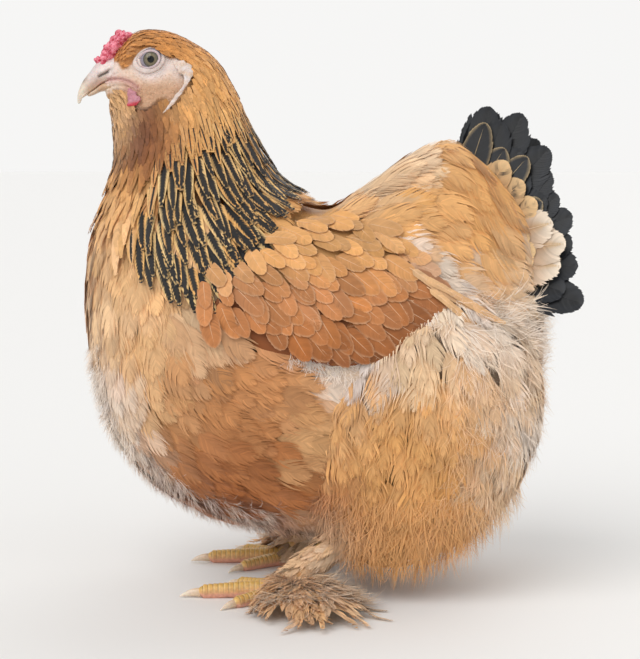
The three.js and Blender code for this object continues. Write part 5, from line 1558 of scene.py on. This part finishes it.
# Each toe: degrees outwards from straight ahead, length, joints, plates and thickness
TOES = {
    "middle": (2, 63, 3, 18, 1.0),
    "inner": (-36, 46, 2, 13, 0.86),
    "outer": (40, 49, 3, 13, 0.86),
    "hind": (172, 29, 1, 8, 0.76),
}
PLATE_YELLOW, PLATE_EDGE, PAD_PINK, GROOVE_BROWN, CLAW_ROOT, CLAW_TIP = (
    paint(code) for code in ("#DDB161", "#EBCB8B", "#D99C83", "#7E552F", "#D8B896", "#EEDFCB")
)
scale_resin = material(
    "tinted_resin_scales", Roughness=0.48, Coat_Weight=0.12, Coat_Roughness=0.4, Subsurface_Weight=0.08,
    Subsurface_Scale=0.003
)
scale_place = tinted(scale_resin, 480.0, 5.0, 0.78, 1.12)
scale_grain = add(scale_resin, "ShaderNodeTexVoronoi", {"Vector": scale_place, "Scale": 620.0})
scale_bump = add(
    scale_resin, "ShaderNodeBump",
    {"Height": scale_grain.outputs["Distance"], "Strength": 0.3, "Distance": 0.0004}
)
put(scale_resin, "Normal", scale_bump.outputs["Normal"])


def plated(middle, across, up, wide, high, plates, joints, turns=36):
    """A leg or toe: a tube whose top carries plates, each rising towards its front edge, and whose
    underside swells into a pad between the joints. Gives the points and their colours."""
    t = np.linspace(0, 1, len(middle))[:, None]
    turn = full_turn(turns)[None]
    top, bottom = np.clip(np.sin(turn) + 0.25, 0, 1) ** 0.6, np.clip(-np.sin(turn), 0, 1)
    phase = (t * plates) % 1
    plate = (0.12 + 0.55 * phase**0.7) * blend(1.0, 0.93, phase)
    pad = 0.9 * np.abs(np.sin(np.pi * t * joints)) - 0.3
    swell = 1 + 0.10 * np.cos(2 * np.pi * t * joints)
    relief = plate * top + pad * bottom
    ring = middle[:, None] + across[:, None] * ((wide[:, None] * swell + relief) * np.cos(turn))[..., None]
    ring = ring + up[:, None] * ((high[:, None] + relief) * np.sin(turn))[..., None]
    groove = bell(phase - 0.02, 0.09) + bell(phase - 1.0, 0.05)
    colour = PAD_PINK + (PLATE_YELLOW - PAD_PINK) * (top * np.ones_like(t))[..., None]
    colour = colour + (PLATE_EDGE - colour) * (0.6 * top * blend(0.5, 0.9, phase))[..., None]
    colour = colour + (GROOVE_BROWN - colour) * (0.75 * top * groove)[..., None]
    return ring, colour


def foot_ground(points):
    """Feet pressed flat: nothing below the floor, with the last half millimetre squeezed above it."""
    z = points[..., 2]
    z = np.where(z < 0.5, 0.5 * np.exp(np.minimum(z - 0.5, 0) * 2), z)
    return np.concatenate([points[..., :2], z[..., None]], -1)


def toe_middle(side, toe, share):
    """A toe's middle line and half height at shares of its length."""
    yaw, long, _, _, thick = TOES[toe]
    turn = np.radians(yaw)
    high = TOE_RADIUS * thick * (1.02 - 0.30 * share)
    reach = long * share
    x, y = ANKLE[0] - np.cos(turn) * reach, side * (ANKLE[1] + np.sin(turn) * reach)
    return np.stack([x, y, high * 0.86 + 0.4 * np.sin(np.pi * share)], -1), high


def joined(parts):
    """Several closed tubes as one list of points, faces and colours."""
    points, faces, colours, start = [], [], [], 0
    for ring, colour in parts:
        more, sides = closed_loft(ring, start)
        points.append(more)
        faces += sides
        colours.append(np.concatenate([colour.reshape(-1, 3), colour[0, :1], colour[-1, :1]]))
        start += len(more)
    return np.concatenate(points), faces, np.concatenate(colours)


for name, side in SIDES.items():
    parts = []
    for toe, (_, _, joints, plates, _) in TOES.items():
        share = np.linspace(0.0, 1.0, plates * 12)
        middle, high = toe_middle(side, toe, share)
        ahead = unit(np.gradient(middle, axis=0))
        across = unit(np.cross(ahead, [0, 0, 1]))
        taper = np.sqrt(np.clip(1 - (share - 0.93) / 0.075, 0.02, 1))
        up, wide = np.cross(across, ahead), high * 0.86 * taper
        ring, colour = plated(middle, across, up, wide, high * taper, plates, joints)
        parts.append((foot_ground(ring), colour))
    k = np.linspace(0, 1, 150)
    middle = (HOCK + (ANKLE - HOCK) * k[:, None]) * np.array([1, side, 1])
    ahead = unit(np.gradient(middle, axis=0))
    front = unit(SHANK_FRONT - ahead * (ahead @ SHANK_FRONT)[:, None])
    wide = SHANK_RADIUS * follow([1.1, 0.92, 0.86, 0.9, 1.0], k)
    high = SHANK_RADIUS * follow([1.25, 1.0, 0.92, 0.95, 1.05], k)
    parts.append(plated(middle, np.cross(ahead, front), front, wide, high, 15, 1))
    # The ball of the foot, where the toes meet
    lat = np.linspace(0.05, np.pi - 0.05, 24)
    middle = np.array([ANKLE[0] + 1, side * ANKLE[1], 8.2]) + np.cos(lat)[:, None] * np.array([0, 0, 8.4])
    flat = np.tile([1.0, 0, 0], (24, 1)), np.tile([0, 1.0, 0], (24, 1))
    ring = tube(middle, *flat, 11.5 * np.sin(lat), 10 * np.sin(lat), 32)
    ring = ring + unit(ring - middle[:, None]) * (0.3 * ripple(ring, 5, 3))[..., None]
    parts.append((foot_ground(ring), np.broadcast_to(PLATE_YELLOW * 0.9, ring.shape)))
    points, faces, colours = joined(parts)
    leg = make_piece(f"leg_{name}_scaled", points, faces, scale_resin, "leg_scale", None, colours)
    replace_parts(leg, f"foot_{name}", f"shank_{name}")

    claws = []
    for toe, (_, _, _, _, thick) in TOES.items():
        tip, high = toe_middle(side, toe, np.array([0.8, 0.97]))
        ahead = unit((tip[1] - tip[0]) * [1, 1, 0])
        k = np.linspace(0, 1, 36)[:, None]
        middle = tip[1] + ahead * (14.5 * thick * k) + np.array([0, 0, 1]) * (1.4 * k - 4.2 * k**2 - 0.3)
        along = unit(np.gradient(middle, axis=0))
        across = unit(np.cross(along, [0, 0, 1]))
        girth = 3.0 * thick * (1 - k[:, 0] ** 1.6) ** 0.8 + 0.12
        ring = tube(middle, across, np.cross(across, along), girth * 0.8, girth, 20)
        shade = CLAW_ROOT + (CLAW_TIP - CLAW_ROOT) * k[:, None]
        claws.append((foot_ground(ring), np.broadcast_to(shade, ring.shape)))
    points, faces, colours = joined(claws)
    claw = make_piece(f"claws_{name}_horn", points, faces, horn, "horn", None, colours)
    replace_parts(claw, *(f"claw_{toe}_{name}" for toe in TOES))

# Foot feathers
# Soft feathers run down the outer side of the leg, and stiffer ones fan out from the outer toe and the
# ankle, buff with dusky patches.

# How far the fan reaches at even angles between its two edges, in degrees outwards from straight ahead
FOOT_REACH, FOOT_FROM, FOOT_TO = [44, 84, 104, 92, 56], 58.0, 145.0
# Its layers from the floor up: how many feathers, their share of the reach, half width and height
FOOT_LAYERS = [(27, 1.0, 4.4, 0.5), (22, 0.88, 4.6, 2.2), (17, 0.74, 4.8, 3.8), (13, 0.56, 4.8, 5.4)]
FOOT_PAIRS = 26
FOOT_BUFF, FOOT_DUSK, FOOT_CREAM, FOOT_DOWN, FOOT_TAN = (
    paint(code) for code in ("#DBA05A", "#5A4A3C", "#F0DCC2", "#E3CDB4", "#E2BC94")
)


def foot_fan(side):
    """The fan of a foot's feathers as a function of the reach in hundreds of millimetres and the angle
    from straight ahead: a low arch from the ankle to the floor."""

    def surface(u, v, out=0.0):
        reach, turn = np.broadcast_arrays(100 * np.asarray(u, float), np.asarray(v, float))
        full = follow(FOOT_REACH, (np.degrees(turn) - FOOT_FROM) / (FOOT_TO - FOOT_FROM))
        k = np.clip(reach / full, -0.1, 1.25)
        z = 9.5 + (1.6 - 9.5) * k + 7 * np.sin(np.pi * np.clip(k, 0, 1)) + out
        x, y = ANKLE[0] - np.cos(turn) * reach, side * (ANKLE[1] + np.sin(turn) * reach)
        return np.stack([x, y, z], -1)

    return surface


def shank_surface(side):
    """The leg's side as a function of the share down from the hock and the angle round from the front."""

    def surface(u, v, out=0.0):
        k, turn = np.broadcast_arrays(np.asarray(u, float), np.asarray(v, float))
        middle = HOCK + (ANKLE - HOCK) * k[..., None]
        down = unit(ANKLE - HOCK)
        front = unit(SHANK_FRONT - down * (down @ SHANK_FRONT))
        outer = np.cross(down, front)
        outer = outer * np.sign(outer[1])
        size = (SHANK_RADIUS + out)[..., None] if np.ndim(out) else SHANK_RADIUS + out
        place = middle + size * (front * np.cos(turn)[..., None] + outer * np.sin(turn)[..., None])
        return place * np.array([1, side, 1])

    return surface


for name, side in SIDES.items():
    surface = foot_fan(side)
    for tier, (count, reach, half, high) in enumerate(FOOT_LAYERS):
        turn = np.linspace(FOOT_FROM, FOOT_TO, count) + coat_rng.uniform(-3, 3, count)
        full = follow(FOOT_REACH, (turn - FOOT_FROM) / (FOOT_TO - FOOT_FROM)) * reach
        length = (full - 4) * coat_rng.uniform(0.78, 1.08, count)
        bend = coat_rng.normal(0.0, 0.3, count)
        line, up = trace(surface, np.full(count, 0.08), np.radians(turn), length, 8, 0, bend)
        half = half * coat_rng.uniform(0.85, 1.2, count)
        spine, wide = vane_barbs(
            count, FOOT_PAIRS, 4, length, half, base=0.7, widest=0.6, point=1.5, sweep=2.6, rag=0.4,
            loose=2.6, start=0.06, fill=0.8, firm=0.25
        )
        pale = blend(95, 140, turn)[:, None] * 0.7
        edge = vary(FOOT_BUFF + (FOOT_CREAM - FOOT_BUFF) * (0.25 + 0.6 * pale) + np.zeros((count, 3)), 0.1)
        root = edge * 0.82
        root = root + (FOOT_DUSK - root) * (coat_rng.random((count, 1)) < 0.2) * 0.7
        mix = np.array([0, 0.45, 0.9, 1.15])[None, None, :, None]
        shade = root[:, None, None] * (1 - mix) + edge[:, None, None] * mix
        shade = shade * np.exp(coat_rng.normal(0, 0.10, (count, 2 * FOOT_PAIRS, 1, 1)))
        bake = np.stack([np.full(count, 0.68), 0.1 + 0.2 * tier + 0.001 * turn], -1)
        feathers(
            f"foot_{name}_feathers_{tier + 1}", "buff_feather", line, up, length, spine, wide, shade, bake,
            high * 0.6, high, 0.8, 0.3
        )

    u, v = scatter(surface, (0.08, 0.6), np.radians([70, 150]), 5.2)
    count = len(u)
    length = coat_rng.uniform(20, 32, count)
    line, up = trace(surface, u, v, length * 0.8, 4, coat_rng.normal(0, 0.3, count))
    spine, wide = down_barbs(count, 16, 5, length, 0.6, 0.5, 8.0, 0.4)
    shade = shades(
        vary(np.broadcast_to(FOOT_DOWN, (count, 3)), 0.07), [0.8, 0.9, 1, 1.05, 1.1], spine, 0.06
    )
    bake = np.stack([np.full(count, 0.68), 0.92 + 0.0004 * np.degrees(v)], -1)
    feathers(
        f"foot_{name}_down", "pale_fluff", line, up, length, spine, wide, shade, bake, 2.0, 7.0, 0.8, 0.3,
        tuck=0
    )

    surface = shank_surface(side)
    u, v = scatter(surface, (0.02, 1.0), (-np.pi, np.pi), 3.4)
    count = len(u)
    length = coat_rng.uniform(14, 21, count)
    line, up = trace(surface, u, v, length, 5, coat_rng.normal(0.1, 0.2, count))
    spine, wide = vane_barbs(
        count, 9, 4, length, length * 0.15, point=1.4, sweep=2.4, rag=0.3, loose=1.0, start=0.15, fill=0.9,
        firm=0.3
    )
    pale = 0.8 * blend(1.0, 2.2, np.abs(v)) * coat_rng.uniform(0.5, 1, count)
    tone = FOOT_TAN + (FOOT_DOWN - FOOT_TAN) * pale[:, None]
    tone = tone + (FOOT_DUSK - tone) * (coat_rng.random((count, 1)) < 0.07) * 0.6
    bake = np.stack([np.full(count, 0.68), 0.9 * u], -1)
    shade = shades(vary(tone, 0.08), [0.85, 0.92, 1.0, 1.08], spine)
    high = coat_rng.uniform(2.0, 5.0, count)
    feathers(
        f"shank_{name}_feathers", "pale_fluff", line, up, length, spine, wide, shade, bake, 0.2, high, 1.0,
        0.4
    )
